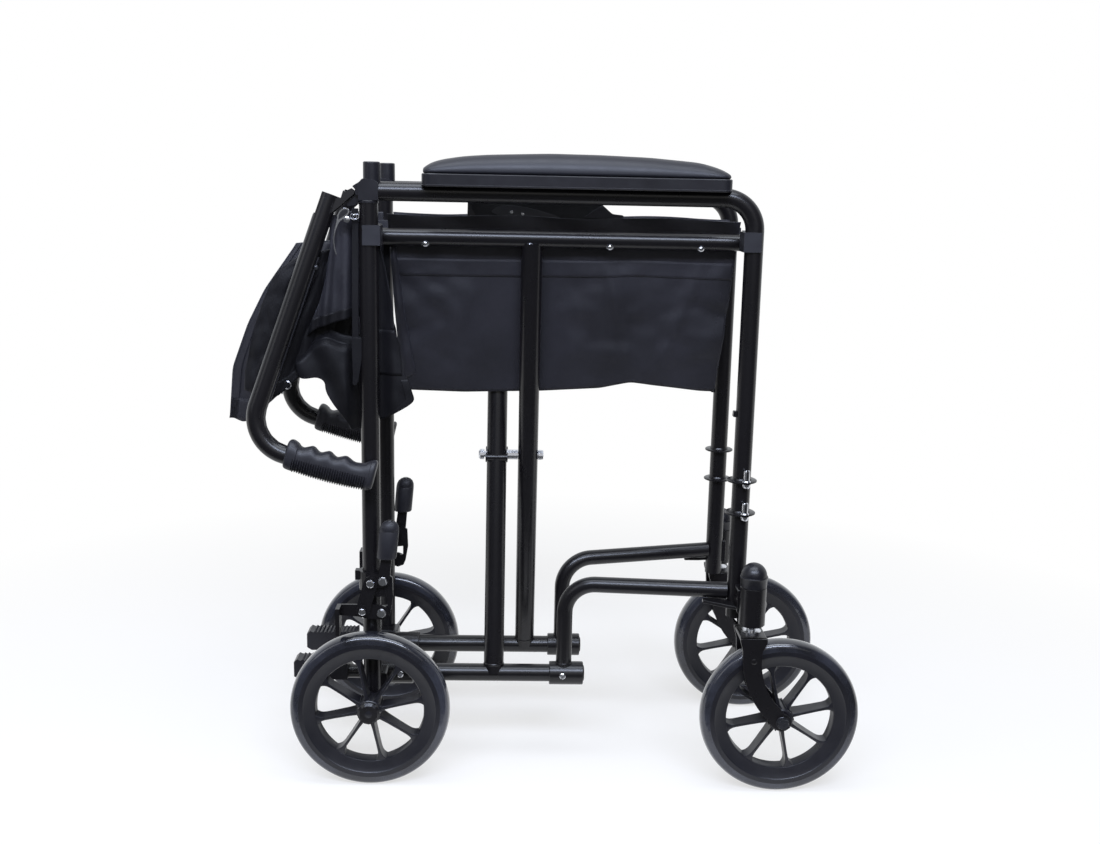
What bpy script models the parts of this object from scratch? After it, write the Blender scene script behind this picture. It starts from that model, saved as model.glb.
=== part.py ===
"""Folding attendant wheelchair, standing folded, as separate pieces in metres.

+X is the front, +Z is up and -Y is the chair's right side. Each function builds the right-hand
piece, and pair() mirrors it in Y for the left.
"""

import math

import bmesh
import bpy
from mathutils import Matrix, Vector

# Clearance between pieces, radius of the main tube
GAP = 0.0003
TUBE = 0.0111

# Reach of the whole object along X, from the rear post axis
WHEEL_RADIUS = 0.0985
FRONT_AXLE = 0.5059
POST_TOP = 0.716

# Push handle, raised about the hinge and then turned down
RAISED_ANGLE = 161.0
HINGE_TILT = -2.6
CANE_END = (-0.044, POST_TOP + 0.006)

# Back upholstery: three lines as places along the folded cane and depths in front of its axis
BACK_CANE = ((0.0732, 0.0000), (0.2547, 0.0000))
BACK_FOLD = ((0.0400, 0.0520), (0.1585, 0.0780))
BACK_RIDGE = ((0.0768, -0.0319), (0.1441, -0.0514), (0.1919, -0.0581), (0.2506, -0.0594), (0.3131, -0.0433))
BACK_OUTER_SAG = ((0.0, 0.0), (0.22, 0.0130), (0.45, 0.0), (1.0, 0.0))
BACK_INNER_SAG = ((0.0, 0.0), (0.40, 0.0), (0.80, 0.0300), (1.0, 0.0))
BACK_THICK = 0.0020
BACK_RIPPLE = 0.0035
BACK_ROWS = 6
BACK_STEPS = 9
BACK_EDGE_Y = TUBE + 0.0004
BACK_FOLD_Y = -0.046
BACK_MID_Y = -BACK_THICK - GAP / 2

# The back upholstery reaches furthest back, and the front tyres furthest forward
CANE_DOWN = Vector((-math.cos(math.radians(HINGE_TILT)) * math.sin(math.radians(RAISED_ANGLE)),
                    math.cos(math.radians(RAISED_ANGLE))))
CANE_FRONT = Vector((-CANE_DOWN.y, CANE_DOWN.x)).normalized()
BACK_REACH = max(-(CANE_END[0] + CANE_DOWN.x * t + CANE_FRONT.x * depth) for t, depth in BACK_RIDGE)
REAR_POST = (BACK_REACH - FRONT_AXLE - WHEEL_RADIUS) / 2

# Planes and heights, X measured from the rear post axis
FRONT_POST = 0.452
POST_Y = -0.086
RAIL_Y = -0.049
ARM_Z = POST_TOP + 0.0105
SEAT_RAIL_Z = POST_TOP - 0.0428
BOTTOM_RAIL_Z = WHEEL_RADIUS + 0.0203
REAR_POST_BOTTOM = WHEEL_RADIUS - 0.0185
FRONT_POST_BOTTOM = 0.213
ARM_BEND = 0.0375

# Radii of the other tubes, and sides of round pieces
BRACE = 0.0127
SEAT_RAIL = 0.0100
STRETCHER = 0.0100
SPIGOT = 0.0070
STUB = 0.0085
SLEEVE = 0.0148
SIDES = 12
FINE = 16

# Stretcher and its sleeve on the bottom rail
STRETCHER_FRONT_Z = 0.246
STRETCHER_REAR_Z = 0.240
STRETCHER_LEG = 0.241
STRETCHER_BEND = 0.040
FRONT_SLEEVE = (0.2225, 0.2660)
REAR_SLEEVE = (-0.008, 0.048)
BOTTOM_RAIL = (0.012, 0.2580)
REAR_STUB_END = -0.096
FITTING_BOLT = 0.0030
PEDAL = (-0.103, -0.035)
PEDAL_Z = (BOTTOM_RAIL_Z - 0.0070, BOTTOM_RAIL_Z + 0.0200)
PEDAL_WIDTH = 0.024

# Hanger plates, their pins and the stop peg on the front post
HANGER_Z = (0.3470, 0.3876)
HANGER_RADIUS = 0.0185
HANGER_THICK = 0.0032
HANGER_PIN = (FRONT_POST + 0.0032, POST_Y - 0.0152)
HANGER_PIN_RADIUS = 0.0034
HANGER_PIN_ENDS = (-0.0060, 0.0160)
PEG_Z = (0.4660, 0.4737)
PEG_REACH = 0.0040

# Armrest: base board and the crown line of the pad
ARM_BASE = (0.062, 0.421)
ARM_BASE_Z = (ARM_Z + 0.0065, ARM_Z + 0.0215)
ARM_BASE_HALF = 0.026
PAD_CROWN = ((0.0625, 0.0050), (0.071, 0.0095), (0.094, 0.0152), (0.129, 0.0192), (0.210, 0.0228),
             (0.267, 0.0224), (0.326, 0.0208), (0.384, 0.0160), (0.408, 0.0095), (0.4205, 0.0045))

# Guide blocks
GUIDE_Z = (SEAT_RAIL_Z - 0.0085, SEAT_RAIL_Z + 0.0145)
GUIDE_OUTER_Y = -0.0990
GUIDE_INNER_Y = -0.0385
REAR_GUIDE = (-0.0061, 0.0146)
FRONT_GUIDE = (0.4376, 0.4586)
GUIDE_STEP_Y = (-0.0700, -0.0620)
RAIL_ENDS = (0.0106, 0.4454)
RAIL_SHOULDER = 0.0005
SPIGOT_REACH = 0.0105
SCREWS = (0.0639, 0.1885, 0.2845, 0.3940)

# Braces and their pivot
BRACE_A = 0.151
BRACE_B = BRACE_A + 0.040
PIVOT_Z = (SEAT_RAIL_Z + BOTTOM_RAIL_Z) / 2
PIVOT_BOLT = 0.0040
PIVOT_ENDS = (BRACE_A - 0.0230, BRACE_B + 0.0195)

# Seat sling
SLING = (0.034, 0.427)
SLING_TOP = (0.022, 0.441)
SLING_CREASE_Z = SEAT_RAIL_Z - 0.1902
SLING_TOP_Z = SEAT_RAIL_Z + 0.0258
SLING_BELLY = 0.0050
SLING_LIFT = 0.0060
SLING_LIFT_X = 0.3000
SLING_ROWS = 5
SLING_STEPS = 16
SLING_OFF_BRACE = 0.0132
SLING_THICK = 0.0015
BELT_Y = (0.0522, 0.0552)
BELT_Z = (SEAT_RAIL_Z + 0.0008, SEAT_RAIL_Z + 0.0444)

# Push handle and its hinge
HINGE_LUG_HALF = 0.0028
SPIGOT_AXIS = 0.003
SPIGOT_RADIUS = 0.0092
SHOULDER_Z = POST_TOP + 0.0190
PLUG_LENGTH = 0.0250
PLUG_TOP = SHOULDER_Z + PLUG_LENGTH
ARM_TUBE_START = SPIGOT_AXIS + SPIGOT_RADIUS + 2 * GAP
CANE_LENGTH = 0.3103
CANE_BEND = 0.045
GRIP_DROP = 5.1
GRIP = (0.050, 0.157)
GRIP_TUBE_END = 0.148
GRIP_HALF = 0.0150
GRIP_OUTLINE = ((0.050, 0.0140), (0.058, 0.0185), (0.067, 0.0145), (0.079, 0.0185), (0.088, 0.0140),
                (0.099, 0.0175), (0.108, 0.0132), (0.119, 0.0165), (0.130, 0.0122), (0.141, 0.0135),
                (0.157, 0.0210))
GRIP_UNDER = ((0.151, -0.0160), (0.130, -0.0192), (0.105, -0.0198), (0.080, -0.0180), (0.055, -0.0150))

# Release lever: its rivet, and its outline from the rivet
RELEASE_RIVET = (-0.023, POST_TOP - 0.022)
RELEASE_OUTLINE = ((0.0040, 0.0160), (-0.0060, 0.0145), (-0.0130, 0.0050), (-0.0140, -0.0060),
                   (-0.0145, -0.0140), (-0.0170, -0.0240), (-0.0160, -0.0340), (-0.0140, -0.0410),
                   (-0.0110, -0.0410), (-0.0130, -0.0320), (-0.0135, -0.0240), (-0.0105, -0.0140),
                   (-0.0050, -0.0090), (0.0040, -0.0070), (0.0065, -0.0010), (0.0030, 0.0060))

# Brake: bolts, from the rear post axis and the top of the rear tyre
TYRE_TOP = 2 * WHEEL_RADIUS
LEVER_BOLT = (0.0158, TYRE_TOP + 0.0637)
LINK_BOLT = (0.0014, TYRE_TOP + 0.0618)
ARM_PIN = (-0.0088, TYRE_TOP + 0.0259)
SHOE_BOLT = (0.0141, TYRE_TOP + 0.0230)
BRAKE_BRACKET_Y = (-0.1043, -0.1011)
BRAKE_LEVER_Y = (-0.1077, -0.1047)
BRAKE_LINK_Y = (-0.1108, -0.1081)
BRAKE_GRIP_Y = (-0.1140, -0.0985)
SHOE_PLATE_Y = (-0.1250, -0.1047)
BOLT = 0.0030
BOLT_HEAD = 0.0055
CLAMP_Z = (TYRE_TOP + 0.0470, TYRE_TOP + 0.0710)
CLAMP_RADIUS = 0.0150

# Wheels
REAR_WHEEL_Y = -0.1135
FRONT_WHEEL_Y = -0.1245
TYRE_HALF = 0.0135
TYRE_DEPTH = 0.0155
RIM_RADIUS = WHEEL_RADIUS - TYRE_DEPTH
RIM_INNER = RIM_RADIUS - 0.0165
RIM_HALF = 0.0110
SPOKES = 8
SPOKE_TURN = 12.0
SPOKE_WIDTH = 0.0036
SPOKE_FOOT = 0.0100
SPOKE_HALF = 0.0115
REAR_HUB_HALF = 0.0140
FRONT_HUB_HALF = 0.0180
HUB_RADIUS = 0.0150
REAR_AXLE = 0.0060
FRONT_AXLE_BOLT = 0.0040
CAP_RADIUS = 0.0140

# Caster
CASTER = FRONT_POST + 0.0140
HOUSING_RADIUS = 0.0160
CROWN_Z = (TYRE_TOP + 0.0040, TYRE_TOP + 0.0095)
HOUSING_Z = (CROWN_Z[1] + 0.0030, CROWN_Z[1] + 0.0585)
CAP_RING = (HOUSING_Z[1], HOUSING_Z[1] + 0.0130)
CAP_TOP = HOUSING_Z[1] + 0.0294
FORK_HALF = 0.0250
FORK_THICK = 0.0050
SPINDLE = 0.0060
SPINDLE_TOP = HOUSING_Z[1] - 0.0070

# Fork leg: shares of the way forward and down from the crown to the axle, and the half width
FORK_LEG = ((0.00, 0.00, 0.0150), (-0.05, 0.20, 0.0130), (0.01, 0.43, 0.0120), (0.23, 0.67, 0.0115),
            (0.60, 0.87, 0.0110), (1.00, 1.00, 0.0110))

# Lower flap of the back upholstery, beside the rear post
FLAP_THICK = 0.0020
FLAP_BELLY = 0.0080
FLAP_STEPS = 8
FLAP_OUTLINE = ((0.6560, -0.0440, 0.0115), (0.5960, -0.0520, 0.0290), (0.5600, -0.0640, 0.0320),
                (0.5240, -0.0780, 0.0460), (0.5080, -0.0590, 0.0525), (0.4800, -0.0500, 0.0505),
                (0.4640, -0.0370, 0.0260), (0.4500, -0.0270, -0.0020), (0.4415, -0.0220, -0.0160))

PAINT = ("black_paint", (0.012, 0.013, 0.016), 0.30)
PLASTIC = ("black_plastic", (0.020, 0.021, 0.024), 0.50)
RUBBER = ("grip_rubber", (0.025, 0.026, 0.028), 0.75)
TYRE = ("tyre", (0.030, 0.032, 0.037), 0.35)
FABRIC = ("nylon", (0.012, 0.013, 0.020), 0.85)
VINYL = ("vinyl", (0.018, 0.019, 0.021), 0.45)
ZINC = ("zinc", (0.62, 0.63, 0.64), 0.30)


def at(x, y, z):
    """The point in model axes, with X given from the rear post axis."""
    return Vector((REAR_POST + x, y, z))


def around(radius, sides):
    """Radius of a bore of this many sides that clears a rod of the given radius at any angle."""
    return (radius + GAP) / math.cos(math.pi / sides)


def shape(vertices, faces):
    """A mesh object with its normals facing out."""
    mesh = bpy.data.meshes.new("shape")
    mesh.from_pydata([tuple(v) for v in vertices], [], faces)
    built = bmesh.new()
    built.from_mesh(mesh)
    bmesh.ops.remove_doubles(built, verts=built.verts, dist=1e-7)
    bmesh.ops.recalc_face_normals(built, faces=built.faces)
    if built.calc_volume(signed=True) < 0:
        bmesh.ops.reverse_faces(built, faces=built.faces)
    built.to_mesh(mesh)
    built.free()
    made = bpy.data.objects.new("shape", mesh)
    bpy.context.scene.collection.objects.link(made)
    return made


def loft(rings):
    """A closed skin over rings of equal length, with flat ends."""
    count = len(rings[0])
    vertices = [v for ring in rings for v in ring]
    faces = []
    for step in range(len(rings) - 1):
        low = step * count
        high = low + count
        for i in range(count):
            j = (i + 1) % count
            faces.append((low + i, low + j, high + j, high + i))
    faces.append(tuple(reversed(range(count))))
    faces.append(tuple(range((len(rings) - 1) * count, len(rings) * count)))
    return shape(vertices, faces)


def prism(outline, low, high, axis="Y"):
    """The outline extruded along an axis. Along Y it holds (x, z) and along Z it holds (x, y)."""
    def place(point, along):
        if axis == "Y":
            return at(point[0], along, point[1])
        if axis == "Z":
            return at(point[0], point[1], along)
        return at(along, point[0], point[1])
    return loft([[place(p, low) for p in outline], [place(p, high) for p in outline]])


def block(x, y, z):
    """A box between two values along each axis."""
    return prism([(x[0], z[0]), (x[1], z[0]), (x[1], z[1]), (x[0], z[1])], y[0], y[1])


def circle(centre, axis, radius, sides, turn=0.0):
    """Points of a circle about an axis, the first one level with the axis or below it."""
    axis = axis.normalized()
    side = Vector((0, 1, 0)).cross(axis)
    if side.length < 0.1:
        side = Vector((1, 0, 0))
    side.normalize()
    up = axis.cross(side)
    angles = [turn + 2 * math.pi * i / sides for i in range(sides)]
    return [centre + (side * math.cos(a) + up * math.sin(a)) * radius for a in angles]


def rod(start, end, radius, sides=SIDES):
    """A straight round bar."""
    axis = end - start
    return loft([circle(start, axis, radius, sides), circle(end, axis, radius, sides)])


def turned(centre, axis, profile, sides=FINE):
    """A stack of circles of (distance along the axis, radius)."""
    axis = axis.normalized()
    return loft([circle(centre + axis * d, axis, r, sides) for d, r in profile])


def ring(centre, profile, sides):
    """A closed profile of (radius, offset in Y), turned about the Y axis through the centre."""
    count = len(profile)
    vertices = []
    for i in range(sides):
        angle = 2 * math.pi * i / sides
        out = Vector((math.cos(angle), 0, math.sin(angle)))
        vertices += [centre + out * r + Vector((0, y, 0)) for r, y in profile]
    faces = []
    for i in range(sides):
        k = (i + 1) % sides
        for j in range(count):
            n = (j + 1) % count
            faces.append((i * count + j, i * count + n, k * count + n, k * count + j))
    return shape(vertices, faces)


def bent(corners, bend, steps=5):
    """The corners with each inner one rounded to the bend radius."""
    points = [corners[0]]
    for before, corner, after in zip(corners, corners[1:], corners[2:]):
        back = (before - corner).normalized()
        on = (after - corner).normalized()
        half = back.angle(on) / 2
        middle = corner + (back + on).normalized() * bend / math.sin(half)
        first = corner + back * bend / math.tan(half) - middle
        last = corner + on * bend / math.tan(half) - middle
        points += [middle + first.slerp(last, i / steps) * bend for i in range(steps + 1)]
    return points + [corners[-1]]


def tube(corners, bend, radius, sides=SIDES):
    """A round bar along the corners, its section carried along without twist."""
    points = bent([Vector(c) for c in corners], bend)
    heading = (points[1] - points[0]).normalized()
    section = [v - points[0] for v in circle(points[0], heading, radius, sides)]
    rings = [[points[0] + v for v in section]]
    for i in range(1, len(points)):
        arriving = (points[i] - points[i - 1]).normalized()
        leaving = (points[min(i + 1, len(points) - 1)] - points[i]).normalized() or arriving
        turn = heading.rotation_difference((arriving + leaving).normalized())
        section = [turn @ v for v in section]
        heading = (arriving + leaving).normalized()
        stretch = 1 / max(heading.dot(arriving), 0.9)
        rings.append([points[i] + v * (stretch if v.dot(arriving) else 1) for v in section])
    return loft(rings)


def combine(base, others, operation):
    """The Boolean of one shape with others, which are used up."""
    for other in others:
        step = base.modifiers.new("step", "BOOLEAN")
        step.solver = "EXACT"
        step.operation = operation
        step.object = other
    graph = bpy.context.evaluated_depsgraph_get()
    mesh = bpy.data.meshes.new_from_object(base.evaluated_get(graph))
    base.modifiers.clear()
    base.data = mesh
    for other in others:
        bpy.data.objects.remove(other)
    return base


def joined(base, *others):
    return combine(base, others, "UNION")


def cut(base, *others):
    return combine(base, others, "DIFFERENCE")


def material(look):
    """The material of this name, made once per object so that each piece keeps its own."""
    name, colour, rough = look
    made = bpy.data.materials.new(name)
    made.use_nodes = True
    shader = made.node_tree.nodes["Principled BSDF"]
    shader.inputs["Base Color"].default_value = (*colour, 1)
    shader.inputs["Roughness"].default_value = rough
    shader.inputs["Metallic"].default_value = 1.0 if name == "zinc" else 0.0
    return made


def piece(name, made, look, origin=None, smooth=True):
    """Names a shape, gives it its material and puts its origin on its joint axis."""
    made.name = name
    made.data.name = name
    made.data.materials.clear()
    made.data.materials.append(material(look))
    if smooth:
        made.data.shade_smooth()
        made.data.set_sharp_from_angle(angle=math.radians(40))
    else:
        made.data.shade_flat()
    if origin is not None:
        made.data.transform(Matrix.Translation(-origin))
        made.location = origin
    return made


def mirrored(made):
    """The left-hand twin of a right-hand piece."""
    twin = bpy.data.objects.new(made.name.replace("right_", "left_"), made.data.copy())
    bpy.context.scene.collection.objects.link(twin)
    twin.data.transform(Matrix.Scale(-1, 4, (0, 1, 0)))
    twin.data.flip_normals()
    twin.location = (made.location.x, -made.location.y, made.location.z)
    twin.data.name = twin.name
    twin.data.materials[0] = made.data.materials[0].copy()
    return twin


def pair(name, made, look, origin=None, smooth=True):
    """A right-hand piece and its left-hand twin."""
    mirrored(piece("right_" + name, made, look, origin, smooth))


def post_cutter(x, low, high):
    """A round cutter that leaves the gap round a post."""
    return rod(at(x, POST_Y, low), at(x, POST_Y, high), around(TUBE, FINE), FINE)


# Side frame
def frame_tube():
    """Armrest tube and front post, with hanger plates, pins and the stop peg."""
    made = tube([at(ARM_TUBE_START, POST_Y, ARM_Z), at(FRONT_POST, POST_Y, ARM_Z),
                 at(FRONT_POST, POST_Y, FRONT_POST_BOTTOM)], ARM_BEND, TUBE)
    extra = []
    pin_x, pin_y = HANGER_PIN
    for z in HANGER_Z:
        half = HANGER_THICK / 2
        extra.append(rod(at(FRONT_POST, POST_Y, z - half), at(FRONT_POST, POST_Y, z + half),
                         HANGER_RADIUS, FINE))
        extra.append(rod(at(pin_x, pin_y, z + HANGER_PIN_ENDS[0]), at(pin_x, pin_y, z + HANGER_PIN_ENDS[1]),
                         HANGER_PIN_RADIUS, 8))
    extra.append(block((FRONT_POST - TUBE - PEG_REACH, FRONT_POST), (POST_Y - 0.003, POST_Y + 0.003), PEG_Z))
    pair("frame_tube", joined(made, *extra), PAINT)


def rear_post():
    post = rod(at(0, POST_Y, REAR_POST_BOTTOM), at(0, POST_Y, POST_TOP - GAP), TUBE)
    axle = rod(at(0, POST_Y - 0.02, WHEEL_RADIUS), at(0, POST_Y + 0.02, WHEEL_RADIUS),
               around(REAR_AXLE, SIDES))
    pair("rear_post", cut(post, axle), PAINT)


def stretcher_tube():
    """Lower stretcher with the sleeve on its leg that takes the bottom rail."""
    made = tube([at(FRONT_POST, POST_Y, STRETCHER_FRONT_Z), at(STRETCHER_LEG, RAIL_Y, STRETCHER_REAR_Z),
                 at(STRETCHER_LEG, RAIL_Y, BOTTOM_RAIL_Z + TUBE)], STRETCHER_BEND, STRETCHER)
    low, high = FRONT_SLEEVE
    sleeve = rod(at(low, RAIL_Y, BOTTOM_RAIL_Z), at(high, RAIL_Y, BOTTOM_RAIL_Z), SLEEVE, FINE)
    bolt_z = BOTTOM_RAIL_Z + FITTING_BOLT
    head = rod(at(0.2393, RAIL_Y, bolt_z), at(0.2393, RAIL_Y - SLEEVE - 0.002, bolt_z), 0.0045, 6)
    bore = rod(at(low - 0.01, RAIL_Y, BOTTOM_RAIL_Z), at(BOTTOM_RAIL[1] + GAP, RAIL_Y, BOTTOM_RAIL_Z),
               around(TUBE, FINE), FINE)
    made = joined(made, sleeve, head)
    pair("stretcher_tube", cut(made, bore, post_cutter(FRONT_POST, 0.20, 0.30)), PAINT)


def rear_fitting():
    """Sleeve for the rear end of the bottom rail, saddle on the rear post and tipping stub."""
    low, high = REAR_SLEEVE
    made = rod(at(low, RAIL_Y, BOTTOM_RAIL_Z), at(high, RAIL_Y, BOTTOM_RAIL_Z), SLEEVE, FINE)
    saddle = block((low, 0.018), (POST_Y, RAIL_Y - 0.010), (BOTTOM_RAIL_Z - 0.009, BOTTOM_RAIL_Z + 0.013))
    stub = rod(at(REAR_STUB_END, RAIL_Y, BOTTOM_RAIL_Z), at(low + 0.004, RAIL_Y, BOTTOM_RAIL_Z), STUB)
    bolt_z = BOTTOM_RAIL_Z + FITTING_BOLT
    head = rod(at(0.0326, RAIL_Y, bolt_z), at(0.0326, RAIL_Y - SLEEVE - 0.002, bolt_z), 0.0045, 6)
    bore = rod(at(BOTTOM_RAIL[0] - GAP, RAIL_Y, BOTTOM_RAIL_Z), at(high + 0.01, RAIL_Y, BOTTOM_RAIL_Z),
               around(TUBE, FINE), FINE)
    axle = rod(at(0, POST_Y - 0.02, WHEEL_RADIUS), at(0, RAIL_Y - SLEEVE, WHEEL_RADIUS),
               around(0.0095, SIDES))
    made = joined(made, saddle, stub, head)
    post = post_cutter(0, BOTTOM_RAIL_Z - 0.03, BOTTOM_RAIL_Z + 0.03)
    pair("rear_fitting", cut(made, bore, axle, post), PAINT)


def tipping_pedal():
    """Plastic shoe on the stub, ribbed on top."""
    low, high = PEDAL
    floor, top = PEDAL_Z
    outline = [(low, floor + 0.004), (low + 0.006, floor), (high, floor), (high, top)]
    ribs = 12
    pitch = (high - low - 0.008) / ribs
    for i in range(ribs):
        x = high - 0.002 - i * pitch
        outline += [(x, top), (x - 0.4 * pitch, top - 0.0016), (x - 0.6 * pitch, top - 0.0016)]
    outline += [(low + 0.004, top), (low, top - 0.004)]
    made = prism(outline, RAIL_Y - PEDAL_WIDTH / 2, RAIL_Y + PEDAL_WIDTH / 2)
    bore = rod(at(REAR_STUB_END - GAP, RAIL_Y, BOTTOM_RAIL_Z), at(high + 0.01, RAIL_Y, BOTTOM_RAIL_Z),
               around(STUB, SIDES))
    pair("tipping_pedal", cut(made, bore), PLASTIC, smooth=False)


def arm_base():
    """Board on the armrest tube, with a round channel for the tube."""
    low, high = ARM_BASE_Z
    half = ARM_BASE_HALF
    channel = around(TUBE, FINE)
    start = math.asin((low - ARM_Z) / channel)
    outline = [(POST_Y - half + 0.003, low), (POST_Y - half, low + 0.003), (POST_Y - half, high),
               (POST_Y + half, high), (POST_Y + half, low + 0.003), (POST_Y + half - 0.003, low)]
    steps = 8
    for i in range(steps + 1):
        angle = start + (math.pi - 2 * start) * i / steps
        outline.append((POST_Y + channel * math.cos(angle), ARM_Z + channel * math.sin(angle)))
    pair("arm_base", prism(outline, ARM_BASE[0], ARM_BASE[1], "X"), PLASTIC, smooth=False)


def arm_pad():
    """Moulded cushion, crowned along and across."""
    base = ARM_BASE_Z[1] + GAP
    rings = []
    for x, crown in PAD_CROWN:
        end = min(x - ARM_BASE[0], ARM_BASE[1] - x)
        half = ARM_BASE_HALF - 0.0065 * math.exp(-end / 0.006)
        rise = crown - GAP
        ring_points = [at(x, POST_Y - half, base), at(x, POST_Y - half, base + 0.25 * rise)]
        for i in range(1, 8):
            angle = math.pi * i / 8
            ring_points.append(at(x, POST_Y - half * math.cos(angle) * (1.0 - 0.03 * math.sin(angle)),
                                  base + rise * (0.25 + 0.75 * math.sin(angle) ** 0.7)))
        ring_points += [at(x, POST_Y + half, base + 0.25 * rise), at(x, POST_Y + half, base)]
        rings.append(ring_points)
    pair("arm_pad", loft(rings), VINYL)


# Push handle. The cane is drawn raised and then turned down about the hinge
def hinge_point():
    """Centre of the turn that brings the end of the cane from its folded place onto the spigot."""
    folded = Vector(CANE_END)
    raised = Vector((SPIGOT_AXIS, SHOULDER_Z + GAP))
    span = raised - folded
    across = Vector((span.y, -span.x)).normalized()
    centre = (folded + raised) / 2 + across * (span.length / 2) / math.tan(math.radians(RAISED_ANGLE / 2))
    return at(centre.x, POST_Y, centre.y)


def hinge_axis():
    tilt = math.radians(HINGE_TILT)
    return Vector((0, math.cos(tilt), math.sin(tilt)))


def folded(made):
    """Turns a shape drawn on the raised cane down to its folded place."""
    centre = hinge_point()
    turn = (Matrix.Translation(centre) @ Matrix.Rotation(math.radians(-RAISED_ANGLE), 4, hinge_axis())
            @ Matrix.Translation(-centre))
    made.data.transform(turn)
    return made


def grip_axis():
    """Direction of the hand grip on the raised cane."""
    drop = math.radians(GRIP_DROP)
    return Vector((-math.cos(drop), 0, -math.sin(drop)))


def cane_corner():
    return at(SPIGOT_AXIS, POST_Y, SHOULDER_Z + GAP + CANE_LENGTH)


def back_hinge():
    """Moulded cap of the rear post: shoulder, spigot, hinge lug and the lug of the release lever."""
    shoulder = block((-TUBE, ARM_TUBE_START - GAP), (POST_Y - TUBE, POST_Y + TUBE), (POST_TOP, SHOULDER_Z))
    spigot = rod(at(SPIGOT_AXIS, POST_Y, SHOULDER_Z - 0.004), at(SPIGOT_AXIS, POST_Y, PLUG_TOP),
                 SPIGOT_RADIUS, SIDES)
    pivot = hinge_point()
    px = pivot.x - REAR_POST
    lug = prism([(-TUBE + 0.002, POST_TOP + 0.001), (-TUBE + 0.002, POST_TOP + 0.015),
                 (px + 0.002, pivot.z + 0.0045),
                 (px - 0.0040, pivot.z + 0.0030), (px - 0.0048, pivot.z - 0.0020),
                 (px - 0.0010, pivot.z - 0.0060)], POST_Y - HINGE_LUG_HALF, POST_Y + HINGE_LUG_HALF)
    rivet_x, rivet_z = RELEASE_RIVET
    plate = prism([(-TUBE + 0.003, POST_TOP + 0.001), (-TUBE + 0.003, POST_TOP + 0.017),
                   (-0.0120, POST_TOP + 0.017),
                   (rivet_x - 0.005, rivet_z + 0.004), (rivet_x - 0.004, rivet_z - 0.005),
                   (rivet_x + 0.004, rivet_z - 0.005)], POST_Y - TUBE - 0.001, POST_Y - TUBE + 0.0020)
    rivet = rod(at(rivet_x, POST_Y - TUBE, rivet_z), at(rivet_x, POST_Y - TUBE - 0.0060, rivet_z), 0.0022, 8)
    made = joined(shoulder, spigot, lug, plate, rivet)
    hole = rod(pivot - hinge_axis() * 0.02, pivot + hinge_axis() * 0.02, around(0.0024, 8), 8)
    pair("back_hinge", cut(made, hole), PLASTIC)


def back_cane():
    """Push handle tube with its bend, the trough that takes the spigot and the hinge cheeks."""
    foot = SHOULDER_Z + GAP
    corner = cane_corner()
    made = tube([at(SPIGOT_AXIS, POST_Y, foot), corner, corner + grip_axis() * GRIP_TUBE_END],
                CANE_BEND, TUBE)
    pivot = hinge_point()
    px = pivot.x - REAR_POST
    wall = SPIGOT_AXIS - TUBE + 0.0030
    cheeks = []
    for side in (-1, 1):
        near = POST_Y + side * (HINGE_LUG_HALF + 3 * GAP)
        far = POST_Y + side * (HINGE_LUG_HALF + 0.0042)
        cheeks.append(prism([(px - 0.0040, pivot.z - 0.0030), (px + 0.0005, pivot.z - 0.0042),
                             (px + 0.0042, pivot.z - 0.0005), (wall, foot + 0.004), (wall, foot + 0.022),
                             (px - 0.0042, pivot.z + 0.0010)], min(near, far), max(near, far)))
    pin = rod(pivot - hinge_axis() * 0.0060, pivot + hinge_axis() * 0.0060, 0.0024, 8)
    room = around(SPIGOT_RADIUS, SIDES)
    depth = PLUG_TOP + 0.0015
    bore = rod(at(SPIGOT_AXIS, POST_Y, foot - 0.01), at(SPIGOT_AXIS, POST_Y, depth), room)
    mouth = block((SPIGOT_AXIS, SPIGOT_AXIS + 0.02), (POST_Y - room, POST_Y + room), (foot - 0.01, depth))
    shoulder = block((-TUBE - GAP, 0.02), (POST_Y - 0.02, POST_Y + 0.02), (SHOULDER_Z - 0.02, foot))
    made = cut(joined(made, *cheeks, pin), bore, mouth, shoulder)
    pair("back_cane", folded(made), PAINT, pivot)


def hand_grip():
    """Rubber grip with its finger waves underneath when it is raised, open where the tube enters."""
    along = grip_axis()
    up = Vector((0, 1, 0)).cross(along)
    up = up if up.z > 0 else -up
    corner = cane_corner()
    outline = GRIP_OUTLINE + GRIP_UNDER
    rings = []
    for width, height in ((-1.0, 0.72), (-0.8, 0.92), (-0.4, 1.0), (0.4, 1.0), (0.8, 0.92), (1.0, 0.72)):
        side = Vector((0, width * GRIP_HALF, 0))
        rings.append([corner + along * s - up * h * height + side for s, h in outline])
    made = loft(rings)
    bore = rod(corner + along * (GRIP[0] - 0.01), corner + along * (GRIP_TUBE_END + GAP),
               around(TUBE, SIDES))
    pair("hand_grip", folded(cut(made, bore)), RUBBER, hinge_point())


def release_lever():
    """Zinc lever on its rivet."""
    low = POST_Y - TUBE - 0.0032
    rivet_x, rivet_z = RELEASE_RIVET
    made = prism([(rivet_x + x, rivet_z + z) for x, z in RELEASE_OUTLINE], low, low + 0.0018)
    hole = rod(at(rivet_x, low - 0.01, rivet_z), at(rivet_x, low + 0.01, rivet_z), around(0.0022, 8), 8)
    pair("release_lever", cut(made, hole), ZINC, at(rivet_x, low, rivet_z), smooth=False)


# Brake
def bolt(point, low, high, head=BOLT_HEAD, thick=0.0022):
    """A bolt along Y from the plate at high out to its head at low."""
    x, z = point
    shank = rod(at(x, low, z), at(x, high, z), BOLT, 8)
    return joined(shank, rod(at(x, low - thick, z), at(x, low, z), head, 6))


def hole(point, low, high, extra=0.0):
    x, z = point
    return rod(at(x, low, z), at(x, high, z), around(BOLT, 8) + extra, 8)


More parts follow.
